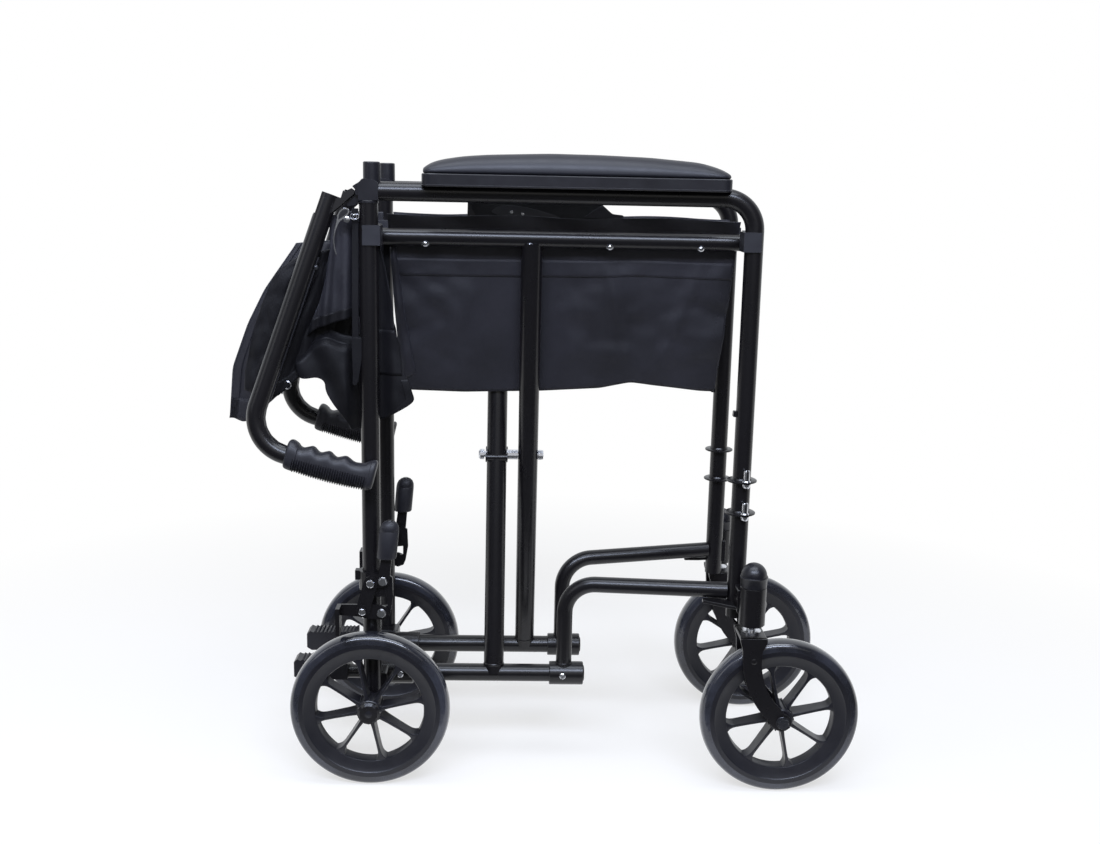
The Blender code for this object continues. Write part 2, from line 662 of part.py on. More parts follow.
def bar(first, second, radius, low, high, steps=5):
    """A plate with round ends between two points of a side view."""
    a = Vector(first)
    b = Vector(second)
    heading = math.atan2(b.y - a.y, b.x - a.x)
    outline = []
    for centre, start in ((b, heading - math.pi / 2), (a, heading + math.pi / 2)):
        for i in range(steps + 1):
            angle = start + math.pi * i / steps
            outline.append((centre.x + radius * math.cos(angle), centre.y + radius * math.sin(angle)))
    return prism(outline, low, high)


def lifted(points):
    """Points of a side view, their heights given from the top of the rear tyre."""
    return [(x, TYRE_TOP + z) for x, z in points]


def brake_bracket():
    """Clamp on the rear post with the plate that carries the lever and the shoe arm."""
    low, high = BRAKE_BRACKET_Y
    clamp = rod(at(0, POST_Y, CLAMP_Z[0]), at(0, POST_Y, CLAMP_Z[1]), CLAMP_RADIUS + 0.0005, FINE)
    ear = block((-0.020, -0.010), (POST_Y - 0.005, POST_Y + 0.005), (CLAMP_Z[0] + 0.012, CLAMP_Z[1]))
    bridge = block((-0.004, 0.012), (high - 0.002, POST_Y - 0.010), (CLAMP_Z[0] + 0.001, CLAMP_Z[1] - 0.001))
    outline = ((-0.004, 0.048), (0.0080, 0.042), (0.0210, 0.043), (0.0210, 0.031), (0.0060, 0.029),
               (0.0040, 0.023), (0.0070, 0.015), (0.0141, 0.013), (0.0215, 0.016), (0.0245, 0.023),
               (0.0280, 0.043), (0.0270, 0.067), (0.0210, 0.072), (-0.004, 0.070))
    plate = prism(lifted(outline), low, high)
    made = joined(clamp, ear, bridge, plate)
    made = cut(made, post_cutter(0, TYRE_TOP, TYRE_TOP + 0.1))
    bolts = [bolt(point, BRAKE_LEVER_Y[0] - GAP, low + 0.002) for point in (LEVER_BOLT, SHOE_BOLT)]
    pair("brake_bracket", joined(made, *bolts), PAINT)


def brake_lever():
    """Bent lever with its moulded grip."""
    low, high = BRAKE_LEVER_Y
    plate = bar(LINK_BOLT, LEVER_BOLT, 0.0085, low, high)
    stem = prism(lifted([(0.010, 0.065), (0.024, 0.063), (0.0275, 0.103), (0.0150, 0.103)]), low, high)
    foot = TYRE_TOP + 0.0920
    middle = (BRAKE_GRIP_Y[0] + BRAKE_GRIP_Y[1]) / 2
    rings = []
    for rise, half_x, half_y in ((0.000, 0.0085, 0.0060), (0.004, 0.0102, 0.0075), (0.016, 0.0104, 0.0078),
                                 (0.035, 0.0098, 0.0074), (0.043, 0.0080, 0.0060), (0.048, 0.0035, 0.0026)):
        x = 0.0205 + rise * 0.09
        z = foot + rise
        rings.append([at(x + half_x * math.cos(2 * math.pi * i / SIDES),
                         middle + half_y * math.sin(2 * math.pi * i / SIDES), z) for i in range(SIDES)])
    made = joined(plate, stem, loft(rings))
    pin = bolt(LINK_BOLT, BRAKE_LINK_Y[0] - GAP, low + 0.0015)
    made = cut(made, hole(LEVER_BOLT, low - 0.01, high + 0.01))
    pair("brake_lever", joined(made, pin), PAINT, at(LEVER_BOLT[0], low, LEVER_BOLT[1]))


def brake_link():
    low, high = BRAKE_LINK_Y
    made = bar(LINK_BOLT, ARM_PIN, 0.0085, low, high)
    made = cut(made, hole(LINK_BOLT, low - 0.01, high + 0.01), hole(ARM_PIN, low - 0.01, high + 0.01, 0.0004))
    pair("brake_link", made, PAINT, at(LINK_BOLT[0], low, LINK_BOLT[1]))


def brake_shoe():
    """Shoe arm, turned down behind the post into the plate that meets the tyre."""
    low, high = BRAKE_LEVER_Y
    boss = bar((-0.006, TYRE_TOP + 0.0245), SHOE_BOLT, 0.0090, low, high)
    arm = prism(lifted([(-0.040, 0.033), (-0.040, 0.0195), (-0.006, 0.017), (-0.006, 0.033)]), low, high)
    shelf = block((-0.040, -0.035), SHOE_PLATE_Y, (TYRE_TOP - 0.001, TYRE_TOP + 0.033))
    made = cut(joined(boss, arm, shelf), hole(SHOE_BOLT, low - 0.01, high + 0.01))
    pin = bolt(ARM_PIN, BRAKE_LINK_Y[0] - GAP, low + 0.0015)
    pair("brake_shoe", joined(made, pin), PAINT, at(SHOE_BOLT[0], low, SHOE_BOLT[1]))


# Wheels
def wheel_rim(centre, hub_half, bore):
    """Moulded rim: hub, tapered spokes and the ring that seats the tyre."""
    seat = RIM_RADIUS
    made = ring(centre, [(RIM_INNER, -RIM_HALF), (seat, -RIM_HALF), (seat, RIM_HALF), (RIM_INNER, RIM_HALF)],
                32)
    side = Vector((0, 1, 0))
    hub = rod(centre - side * hub_half, centre + side * hub_half, HUB_RADIUS, FINE)
    spokes = []
    for i in range(SPOKES):
        angle = math.radians(SPOKE_TURN) + 2 * math.pi * i / SPOKES
        out = Vector((math.cos(angle), 0, math.sin(angle)))
        across = Vector((-math.sin(angle), 0, math.cos(angle)))
        rings = []
        for reach, half, deep in ((0.008, SPOKE_WIDTH / 2, SPOKE_HALF),
                                  (RIM_INNER - 0.007, SPOKE_WIDTH / 2, RIM_HALF - 0.002),
                                  (RIM_INNER + 0.003, SPOKE_FOOT / 2, RIM_HALF - 0.002)):
            middle = centre + out * reach
            rings.append([middle + across * a * half + side * b * deep
                          for a, b in ((-1, -1), (1, -1), (1, 1), (-1, 1))])
        spokes.append(loft(rings))
    made = joined(made, hub, *spokes)
    return cut(made, rod(centre - side * 0.04, centre + side * 0.04, around(bore, SIDES)))


def wheel_tyre(centre):
    seat = RIM_RADIUS + GAP
    half = TYRE_HALF
    shoulder = seat + 0.0120
    return ring(centre, [(seat, -half + 0.002), (seat + 0.0030, -half), (shoulder, -half + 0.0010),
                         (WHEEL_RADIUS, -half + 0.0045), (WHEEL_RADIUS, half - 0.0045),
                         (shoulder, half - 0.0010), (seat + 0.0030, half), (seat, half - 0.002)], 32)


def rear_wheel():
    centre = at(0, REAR_WHEEL_Y, WHEEL_RADIUS)
    pair("rear_rim", wheel_rim(centre, REAR_HUB_HALF, REAR_AXLE), PLASTIC, centre)
    pair("rear_tyre", wheel_tyre(centre), TYRE, centre)
    inner = POST_Y + TUBE + 0.001
    outer = REAR_WHEEL_Y - REAR_HUB_HALF - 2 * GAP
    axle = rod(at(0, outer - 0.002, WHEEL_RADIUS), at(0, inner + 0.004, WHEEL_RADIUS), REAR_AXLE)
    cap = turned(at(0, outer, WHEEL_RADIUS), Vector((0, -1, 0)),
                 ((0, CAP_RADIUS), (0.004, CAP_RADIUS), (0.0065, CAP_RADIUS - 0.003)))
    nut = rod(at(0, inner, WHEEL_RADIUS), at(0, inner + 0.006, WHEEL_RADIUS), 0.0090, 6)
    pair("rear_axle", joined(axle, cap, nut), PAINT, centre)


def front_wheel():
    centre = at(FRONT_AXLE, FRONT_WHEEL_Y, WHEEL_RADIUS)
    pair("front_rim", wheel_rim(centre, FRONT_HUB_HALF, FRONT_AXLE_BOLT), PLASTIC, centre)
    pair("front_tyre", wheel_tyre(centre), TYRE, centre)


# Caster
def fork():
    """Crown, spindle, the two swept legs and the axle bolt."""
    y = FRONT_WHEEL_Y
    crown = block((CASTER - 0.016, CASTER + 0.016), (y - FORK_HALF, y + FORK_HALF), CROWN_Z)
    spindle = rod(at(CASTER, y, CROWN_Z[1] - 0.002), at(CASTER, y, SPINDLE_TOP), SPINDLE)
    line = [(CASTER + (FRONT_AXLE - CASTER) * x, CROWN_Z[1] + (WHEEL_RADIUS - CROWN_Z[1]) * z, half)
            for x, z, half in FORK_LEG]
    front = []
    back = []
    for i, (x, z, half) in enumerate(line):
        before = line[max(i - 1, 0)]
        after = line[min(i + 1, len(line) - 1)]
        run = Vector((after[0] - before[0], after[1] - before[1])).normalized()
        if i == 0:
            run = Vector((0, -1))
        front.append((x - run.y * half, z + run.x * half))
        back.append((x + run.y * half, z - run.x * half))
    end = Vector((line[-1][0], line[-1][1]))
    half = line[-1][2]
    start = math.atan2(front[-1][1] - end.y, front[-1][0] - end.x)
    tip = [(end.x + half * math.cos(start - math.pi * i / 5), end.y + half * math.sin(start - math.pi * i / 5))
           for i in range(1, 5)]
    outline = front + tip + back[::-1]
    legs = []
    for side in (-1, 1):
        edge = y + side * FORK_HALF
        inner = edge - side * FORK_THICK
        legs.append(prism(outline, min(edge, inner), max(edge, inner)))
    reach = FORK_HALF + 0.006
    axle = rod(at(FRONT_AXLE, y - reach, WHEEL_RADIUS), at(FRONT_AXLE, y + reach, WHEEL_RADIUS), FRONT_AXLE_BOLT)
    nuts = [rod(at(FRONT_AXLE, y + s * (FORK_HALF - 0.001), WHEEL_RADIUS),
                at(FRONT_AXLE, y + s * (FORK_HALF + 0.004), WHEEL_RADIUS), 0.0068, 6) for s in (-1, 1)]
    made = joined(crown, spindle, *legs, axle, *nuts)
    pair("fork", made, PAINT, at(CASTER, y, CROWN_Z[0]))


def caster_housing():
    """Bearing housing with its cap, tied to the front post below the stretcher."""
    y = FRONT_WHEEL_Y
    barrel = turned(at(CASTER, y, 0), Vector((0, 0, 1)),
                    ((HOUSING_Z[0], HOUSING_RADIUS - 0.001), (HOUSING_Z[0] + 0.001, HOUSING_RADIUS),
                     (HOUSING_Z[1], HOUSING_RADIUS), (HOUSING_Z[1], HOUSING_RADIUS + 0.0008),
                     (CAP_RING[1], HOUSING_RADIUS + 0.0008), (CAP_RING[1] + 0.001, HOUSING_RADIUS - 0.0004),
                     (CAP_RING[1] + 0.007, HOUSING_RADIUS - 0.0022), (CAP_TOP - 0.005, HOUSING_RADIUS - 0.0055),
                     (CAP_TOP - 0.0015, HOUSING_RADIUS - 0.0100), (CAP_TOP, 0.0020)))
    tie = block((CASTER - 0.018, CASTER + 0.002), (y + 0.004, POST_Y + 0.002),
                (TYRE_TOP + 0.0310, TYRE_TOP + 0.0610))
    rear = FRONT_POST - 0.041
    corner = FRONT_POST - 0.022
    plate = prism([(rear, POST_Y - 0.004), (corner, POST_Y - 0.016), (CASTER - 0.010, y + 0.006),
                   (CASTER, y + 0.010), (CASTER, POST_Y - 0.008), (FRONT_POST, POST_Y),
                   (corner, POST_Y + 0.004), (rear, POST_Y + 0.004)],
                  TYRE_TOP + 0.0330, TYRE_TOP + 0.0372, "Z")
    made = joined(barrel, tie, plate)
    bore = rod(at(CASTER, y, HOUSING_Z[0] - 0.01), at(CASTER, y, SPINDLE_TOP + 0.001), around(SPINDLE, SIDES))
    stretcher = tube([at(FRONT_POST, POST_Y, STRETCHER_FRONT_Z), at(STRETCHER_LEG, RAIL_Y, STRETCHER_REAR_Z),
                      at(STRETCHER_LEG, RAIL_Y, BOTTOM_RAIL_Z)], STRETCHER_BEND, around(STRETCHER, SIDES))
    pair("caster_housing", cut(made, bore, post_cutter(FRONT_POST, TYRE_TOP, TYRE_TOP + 0.1), stretcher), PAINT)


# Guides, braces and seat
def guide(name, x, post_x, rail_end):
    """Block that slides on a post and holds one end of the seat rail. It is narrower at the rail."""
    out = -1 if rail_end > post_x else 1
    back, front = x if out < 0 else reversed(x)
    face = rail_end + out * RAIL_SHOULDER
    made = prism([(back, GUIDE_OUTER_Y), (front, GUIDE_OUTER_Y), (front, GUIDE_STEP_Y[0]),
                  (face, GUIDE_STEP_Y[1]), (face, GUIDE_INNER_Y), (back, GUIDE_INNER_Y)],
                 GUIDE_Z[0], GUIDE_Z[1], "Z")
    post = post_cutter(post_x, GUIDE_Z[0] - 0.01, GUIDE_Z[1] + 0.01)
    deep = rail_end + out * SPIGOT_REACH
    bore = rod(at(deep + out * GAP, RAIL_Y, SEAT_RAIL_Z), at(deep - out * 0.05, RAIL_Y, SEAT_RAIL_Z),
               around(SPIGOT, FINE), FINE)
    pair(name, cut(made, post, bore), PLASTIC, at(deep, RAIL_Y, SEAT_RAIL_Z), smooth=False)


def guides():
    guide("guide_rear", REAR_GUIDE, 0, RAIL_ENDS[0])
    guide("guide_front", FRONT_GUIDE, FRONT_POST, RAIL_ENDS[1])


def cross_member(name, brace_x, side):
    """A brace with the bottom rail at one end and the seat rail at the other. Side is that of the
    bottom rail, -1 for the right."""
    low_y = -side * RAIL_Y
    high_y = side * RAIL_Y
    foot = at(brace_x, low_y, BOTTOM_RAIL_Z)
    head = at(brace_x, high_y, SEAT_RAIL_Z)
    run = (head - foot).normalized()
    brace = rod(foot, head - run * 0.004, BRACE, FINE)
    bottom = rod(at(BOTTOM_RAIL[0], low_y, BOTTOM_RAIL_Z), at(BOTTOM_RAIL[1], low_y, BOTTOM_RAIL_Z), TUBE, FINE)
    start, end = RAIL_ENDS
    reach = SPIGOT_REACH
    rail = turned(at(0, high_y, SEAT_RAIL_Z), Vector((1, 0, 0)),
                  ((start - reach, SPIGOT), (start, SPIGOT), (start, SEAT_RAIL), (end, SEAT_RAIL),
                   (end, SPIGOT), (end + reach, SPIGOT)))
    out = 1 if high_y > 0 else -1
    heads = [rod(at(x, high_y + out * 0.004, SEAT_RAIL_Z - 0.0055),
                 at(x, high_y + out * 0.0095, SEAT_RAIL_Z - 0.0105), 0.0034, 8) for x in SCREWS]
    made = joined(brace, bottom, rail, *heads)
    bore = rod(at(brace_x - 0.02, 0, PIVOT_Z), at(brace_x + 0.02, 0, PIVOT_Z), around(PIVOT_BOLT, SIDES))
    piece(name, cut(made, bore), PAINT, at(brace_x, 0, PIVOT_Z) if side > 0 else foot)


def pivot_bolt():
    low, high = PIVOT_ENDS
    axis = Vector((1, 0, 0))
    made = turned(at(0, 0, PIVOT_Z), axis, ((low, 0.0045), (low + 0.002, 0.0068), (low + 0.007, 0.0068),
                                            (low + 0.007, PIVOT_BOLT), (high - 0.006, PIVOT_BOLT),
                                            (high - 0.006, 0.0068), (high, 0.0060)), SIDES)
    spacer_low = BRACE_A + BRACE + GAP
    spacer_high = BRACE_B - BRACE - GAP
    spacer = rod(at(spacer_low, 0, PIVOT_Z), at(spacer_high, 0, PIVOT_Z), 0.0065)
    piece("pivot_bolt", joined(made, spacer), ZINC, at(BRACE_A, 0, PIVOT_Z))


def eased(value):
    """0 below 0, 1 above 1 and a smooth rise between."""
    value = min(max(value, 0.0), 1.0)
    return value * value * (3 - 2 * value)


def cloth(rows, thick):
    """A closed thin sheet over a grid of points of its outer face, thickened towards +Y."""
    across = Vector((0, thick, 0))
    width = len(rows[0])
    face = [v for row in rows for v in row]
    count = len(face)
    faces = []
    for i in range(len(rows) - 1):
        for j in range(width - 1):
            a = i * width + j
            b, c, d = a + 1, a + width + 1, a + width
            faces += [(a, b, c), (a, c, d)]
            faces += [(a + count, c + count, b + count), (a + count, d + count, c + count)]
    rim = list(range(width))
    rim += [i * width + width - 1 for i in range(1, len(rows))]
    rim += [(len(rows) - 1) * width + j for j in range(width - 2, -1, -1)]
    rim += [i * width for i in range(len(rows) - 2, 0, -1)]
    faces += [(a, a + count, b + count, b) for a, b in zip(rim, rim[1:] + rim[:1])]
    return shape(face + [v + across for v in face], faces)


def seat_panel():
    """Half of the hanging seat, from the flap above the rail down beside the brace to the crease."""
    lean = math.atan2(2 * -RAIL_Y, SEAT_RAIL_Z - BOTTOM_RAIL_Z)
    off = SLING_OFF_BRACE / math.cos(lean)
    fall = SEAT_RAIL_Z - SLING_CREASE_Z
    rows = []
    for i in range(SLING_ROWS + 1):
        down = i / SLING_ROWS
        row = []
        for j in range(SLING_STEPS + 1):
            share = j / SLING_STEPS
            x = SLING_TOP[0] + (SLING_TOP[1] - SLING_TOP[0]) * share
            x += (SLING[0] - SLING_TOP[0] + (SLING[1] - SLING[0] - SLING_TOP[1] + SLING_TOP[0]) * share) * down
            lift = SLING_LIFT * math.exp(-((x - SLING_LIFT_X) / 0.05) ** 2)
            z = SEAT_RAIL_Z - (fall - lift) * down
            free = eased((min(abs(x - BRACE_A), abs(x - BRACE_B)) - BRACE - 0.006) / 0.05)
            belly = SLING_BELLY * math.sin(math.pi * down) * free * (0.75 + 0.25 * math.cos(x / 0.022))
            row.append(at(x, RAIL_Y + off + (SEAT_RAIL_Z - z) * math.tan(lean) - belly, z))
        rows.append(row)
    flap = [Vector((v.x, v.y - 0.001, SLING_TOP_Z)) for v in rows[0]]
    pair("seat_panel", cloth([flap] + rows, SLING_THICK), FABRIC, at(0.2, RAIL_Y, SEAT_RAIL_Z))


def seat_belt():
    """The belt halves, laid up over the inner face of the right seat half."""
    low, high = BELT_Z
    near = POST_Y + BELT_Y[0]
    far = POST_Y + BELT_Y[1]
    strap = prism([(0.112, low), (0.330, low), (0.302, low + 0.020), (0.302, low + 0.028), (0.289, low + 0.029),
                   (0.274, high), (0.112, high)], near + 0.0008, far)
    catch = block((0.1120, 0.1258), (near, far + 0.004), (low + 0.004, high))
    plate = prism([(0.1400, low + 0.030), (0.1520, low + 0.037), (0.1650, low + 0.0375), (0.1960, low + 0.033),
                   (0.2270, low + 0.0245), (0.1800, low + 0.0200)], near, far)
    piece("seat_belt", joined(strap, catch, plate), FABRIC)


# Back upholstery
def cane_frame():
    """Folded cane: its end, its direction and the direction straight in front of it."""
    centre = hinge_point()
    turn = Matrix.Rotation(math.radians(-RAISED_ANGLE), 4, hinge_axis())
    end = centre + turn @ (at(SPIGOT_AXIS, POST_Y, SHOULDER_Z + GAP) - centre)
    down = turn @ Vector((0, 0, 1))
    front = Vector((-down.z, 0, down.x)).normalized()
    return end, down, front


def on_line(line, share):
    """Place and depth at a share of the length of one of the lines of the back upholstery."""
    place = line[0][0] + (line[-1][0] - line[0][0]) * share
    for (a, first), (b, last) in zip(line, line[1:]):
        if place <= b:
            break
    return place, first + (last - first) * (place - a) / (b - a)


def back_point(place, depth, y=None):
    """Point of the folded back upholstery, beside the cane where no Y is given."""
    end, down, front = cane_frame()
    flat = end + down * place
    point = flat + front * depth
    return Vector((point.x, flat.y + BACK_EDGE_Y if y is None else y, point.z))


def back_panels():
    """The two folds of each half of the back upholstery, with the ripples of the slack cloth."""
    def panel(first, first_y, last, last_y, sag, ripples):
        """Rows of points from one line to the other, rippled where free, that hang lower by the sag."""
        rows = []
        for i in range(BACK_ROWS + 1):
            along = i / BACK_ROWS
            start = back_point(*on_line(first, along), first_y)
            stop = back_point(*on_line(last, along), last_y)
            row = []
            for j in range(BACK_STEPS + 1):
                share = j / BACK_STEPS
                slack = BACK_RIPPLE * math.sin(math.pi * share) * math.sin(math.pi * min(along + 0.15, 1.0))
                wave = math.sin(2 * math.pi * ripples * share + 4 * along)
                hang = Vector((CANE_DOWN.x, 0, CANE_DOWN.y)) * on_line(sag, share)[1] * along ** 3
                row.append(start + (stop - start) * share + Vector((0, slack * wave, 0)) + hang)
            rows.append(row)
        return rows
    outer = panel(BACK_CANE, None, BACK_FOLD, BACK_FOLD_Y - BACK_THICK - GAP, BACK_OUTER_SAG, 2)
    inner = panel(BACK_FOLD, BACK_FOLD_Y, BACK_RIDGE, BACK_MID_Y, BACK_INNER_SAG, 3)
    pair("back_outer", cloth(outer, BACK_THICK), FABRIC, (outer[0][0] + outer[-1][0]) / 2)
    pair("back_inner", cloth(inner, BACK_THICK), FABRIC, (inner[0][0] + inner[-1][0]) / 2)


def back_flap():
    """Lower flap that hangs beside the rear post, bellied away from it in front and behind."""
    rows = []
    for z, back, ahead in FLAP_OUTLINE:
        row = []
        for j in range(FLAP_STEPS + 1):
            x = back + (ahead - back) * j / FLAP_STEPS
            out = FLAP_BELLY * eased((abs(x) - TUBE - 0.003) / 0.030)
            row.append(at(x, POST_Y + TUBE + GAP - out, z))
        rows.append(row)
    pair("back_flap", cloth(rows, FLAP_THICK), FABRIC)


def main():
    for old in list(bpy.data.objects):
        bpy.data.objects.remove(old)
    frame_tube()
    rear_post()
    stretcher_tube()
    rear_fitting()
    tipping_pedal()
    arm_base()
    arm_pad()
    back_hinge()
    back_cane()
    hand_grip()
    release_lever()
    brake_bracket()
    brake_lever()
    brake_link()
    brake_shoe()
    rear_wheel()
    front_wheel()
    fork()
    caster_housing()
    guides()
    cross_member("cross_member_a", BRACE_A, -1)
    cross_member("cross_member_b", BRACE_B, 1)
    pivot_bolt()
    seat_panel()
    seat_belt()
    back_panels()
    back_flap()


main()
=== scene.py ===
import math
import bpy
from mathutils import Matrix, Vector, noise


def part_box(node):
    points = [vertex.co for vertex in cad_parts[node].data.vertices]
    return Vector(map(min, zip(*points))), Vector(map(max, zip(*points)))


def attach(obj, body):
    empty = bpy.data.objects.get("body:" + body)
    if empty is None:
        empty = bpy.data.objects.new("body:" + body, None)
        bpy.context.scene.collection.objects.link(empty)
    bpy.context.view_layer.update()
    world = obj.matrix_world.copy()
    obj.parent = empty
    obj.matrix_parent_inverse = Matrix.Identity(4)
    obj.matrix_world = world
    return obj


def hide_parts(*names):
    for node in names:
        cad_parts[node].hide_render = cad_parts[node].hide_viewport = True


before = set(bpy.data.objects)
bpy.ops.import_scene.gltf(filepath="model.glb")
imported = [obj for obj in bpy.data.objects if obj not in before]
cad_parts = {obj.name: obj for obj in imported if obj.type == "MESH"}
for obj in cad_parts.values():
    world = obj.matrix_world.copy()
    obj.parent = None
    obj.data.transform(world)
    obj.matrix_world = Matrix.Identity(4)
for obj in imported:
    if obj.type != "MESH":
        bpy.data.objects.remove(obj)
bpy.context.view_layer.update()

# Planes and main sizes of the frame in metres, X counted from the rear post axis
POST_LOW, POST_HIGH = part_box("right_rear_post")
POST_X = (POST_LOW.x + POST_HIGH.x) / 2
POST_Y = (POST_LOW.y + POST_HIGH.y) / 2
POST_TOP = 0.716
TUBE = 0.0111
RAIL_Y = -0.049
ARM_Z = POST_TOP + 0.0105
SEAT_RAIL_Z = POST_TOP - 0.0428
BOTTOM_RAIL_Z = 0.1188
FRONT_POST = 0.452
FRONT_AXLE = 0.5059
WHEEL_RADIUS = 0.0985
TYRE_TOP = 2 * WHEEL_RADIUS
REAR_WHEEL_Y = -0.1135
FRONT_WHEEL_Y = -0.1245
UP = Vector((0, 0, 1))
AHEAD = Vector((1, 0, 0))
OUT = Vector((0, -1, 0))

# Camera as fitted to the photograph: angles in degrees, focal length in pixels of its width
PITCH, YAW, ROLL = 11.44, 1.71, -1.18
CAMERA_PLACE = (0.17311, -1.52242, 0.74746)
FOCAL_LENGTH, PHOTO_WIDTH, SENSOR = 1214.54, 1100, 36.0

# Soft boxes that face the chair: place, size, watts and colour
CHAIR_CENTRE = (0.2, 0, 0.4)
SOFT_BOXES = {"top": ((0.1, -0.45, 2.6), (2.6, 1.1), 50.0, (0.84, 0.90, 1.0)),
              "front": ((0.1, -2.0, 2.2), (2.6, 0.60), 88.0, (0.72, 0.80, 1.0)),
              "left": ((-2.2, -1.5, 1.7), (1.2, 1.8), 9.0, (0.95, 0.97, 1.0)),
              "fill": ((0.6, -3.2, 1.6), (3.0, 1.8), 9.0, (1.0, 0.98, 0.95))}
PAPER = ((-6, -0.30, 0), (6, -0.30, 0), (6, 6, 0), (-6, 6, 0))
PAPER_COLOUR = (0.88, 0.86, 0.83, 1.0)
WHITE = (1.0, 1.0, 1.0, 1.0)


def at(x, y, z):
    """A place given from the rear post axis."""
    return Vector((POST_X + x, y, z))


def add_object(name, data):
    made = bpy.data.objects.new(name, data)
    bpy.context.scene.collection.objects.link(made)
    return made


def camera():
    pitch, yaw, roll = (math.radians(angle) for angle in (PITCH, YAW, ROLL))
    ahead = Vector((math.sin(yaw) * math.cos(pitch), math.cos(yaw) * math.cos(pitch), -math.sin(pitch)))
    right = Vector((math.cos(yaw), -math.sin(yaw), 0))
    down = ahead.cross(right)
    across = right * math.cos(roll) + down * math.sin(roll)
    below = down * math.cos(roll) - right * math.sin(roll)
    data = bpy.data.cameras.new("camera")
    data.sensor_width = SENSOR
    data.lens = FOCAL_LENGTH / PHOTO_WIDTH * SENSOR
    made = add_object("camera", data)
    turn = Matrix((across, -below, -ahead)).transposed().to_4x4()
    made.matrix_world = Matrix.Translation(at(*CAMERA_PLACE)) @ turn
    bpy.context.scene.camera = made


def soft_box(name, place, size, power, colour):
    data = bpy.data.lights.new(name, "AREA")
    data.shape = "RECTANGLE"
    data.size, data.size_y = size
    data.energy = power
    data.color = colour
    made = add_object(name, data)
    made.location = at(*place)
    made.rotation_euler = (at(*CHAIR_CENTRE) - at(*place)).to_track_quat("-Z", "Y").to_euler()


# Shader trees
def clear_tree(owner):
    owner.use_nodes = True
    owner.node_tree.nodes.clear()
    return owner.node_tree


def shader_node(tree, kind, inputs=None, **settings):
    """A node with its settings. Each input is a value, or the output that it is linked to."""
    made = tree.nodes.new("ShaderNode" + kind)
    for key, value in settings.items():
        setattr(made, key, value)
    for key, value in (inputs or {}).items():
        if isinstance(value, bpy.types.NodeSocket):
            tree.links.new(value, made.inputs[key])
        else:
            made.inputs[key].default_value = value
    return made


def joined(tree, operation, first, second):
    return shader_node(tree, "Math", {0: first, 1: second}, operation=operation).outputs[0]


def ramp(tree, value, source, target, kind="LINEAR"):
    """Maps a value from one range to another."""
    limits = dict(zip(("From Min", "From Max", "To Min", "To Max"), (*source, *target)))
    made = shader_node(tree, "MapRange", {"Value": value, **limits}, interpolation_type=kind)
    return made.outputs["Result"]


def ray_share(tree, *kinds):
    """1 for rays of the given kinds and 0 for the others."""
    path = shader_node(tree, "LightPath").outputs
    share = path["Is %s Ray" % kinds[0]]
    for kind in kinds[1:]:
        share = joined(tree, "MAXIMUM", share, path["Is %s Ray" % kind])
    return share


def mixed_shader(tree, factor, first, second):
    return shader_node(tree, "MixShader", {0: factor, 1: first, 2: second}).outputs[0]


def glow(tree, kind, colour, strength):
    return shader_node(tree, kind, {"Color": colour, "Strength": strength}).outputs[0]


def room(tree):
    """White behind the object, a darker room in front of it, and a soft even light."""
    place = shader_node(tree, "TexCoord").outputs["Generated"]
    depth = shader_node(tree, "SeparateXYZ", {0: place}).outputs["Y"]
    grade = ramp(tree, depth, (-0.30, 0.45), (0.10, 1.0), "SMOOTHSTEP")
    mirrored = glow(tree, "Background", (0.90, 0.95, 1.0, 1.0), 0.16)
    around = glow(tree, "Background", (0.93, 0.96, 1.0, 1.0), grade)
    lit = mixed_shader(tree, ray_share(tree, "Glossy"), mirrored, around)
    plain = glow(tree, "Background", WHITE, 1.0)
    seen = mixed_shader(tree, ray_share(tree, "Camera", "Transmission"), lit, plain)
    shader_node(tree, "OutputWorld", {0: seen})


def paper(tree):
    """Matte paper round the object that fades to plain white away from it."""
    matte = shader_node(tree, "BsdfDiffuse", {"Color": PAPER_COLOUR}).outputs[0]
    place = shader_node(tree, "TexCoord").outputs["Object"]
    away = shader_node(tree, "VectorMath", {0: place}, operation="LENGTH").outputs["Value"]
    share = joined(tree, "MULTIPLY", ray_share(tree, "Camera", "Glossy", "Transmission"),
                   ramp(tree, away, (0.55, 1.3), (0.66, 1.0)))
    white = glow(tree, "Emission", WHITE, 1.0)
    shader_node(tree, "OutputMaterial", {0: mixed_shader(tree, share, matte, white)})


def studio():
    world = bpy.data.worlds.new("studio")
    bpy.context.scene.world = world
    room(clear_tree(world))
    for name, row in SOFT_BOXES.items():
        soft_box(name + "_softbox", *row)
    made = bpy.data.materials.new("paper")
    paper(clear_tree(made))
    mesh_object("paper_floor", PAPER, [(0, 1, 2, 3)], made)


# Materials
def mottled(tree, source, target, scale, detail, rough, stretch=None):
    """A noise over the given coordinates, mapped to the target range."""
    if stretch:
        source = shader_node(tree, "Mapping", {"Scale": stretch, "Vector": source}).outputs["Vector"]
    made = shader_node(tree, "TexNoise", {"Scale": scale, "Detail": detail, "Roughness": rough,
                                          "Vector": source})
    return ramp(tree, made.outputs["Fac"], (0.3, 0.7), target) if target else made.outputs["Fac"]


def bump(tree, height, depth, strength, below=None):
    """Normal of a relief, laid over another one."""
    inputs = {"Distance": depth, "Strength": strength, "Height": height}
    if below:
        inputs["Normal"] = below
    return shader_node(tree, "Bump", inputs).outputs["Normal"]


def woven(tree, here, pitch, depth):
    look = {"Scale": 0.314 / pitch, "Distortion": 0.6, "Detail": 1.0, "Vector": here}
    waves = [shader_node(tree, "TexWave", look, wave_type="BANDS", bands_direction=direction).outputs["Fac"]
             for direction in "XZ"]
    return bump(tree, joined(tree, "MULTIPLY", *waves), depth, 0.6)


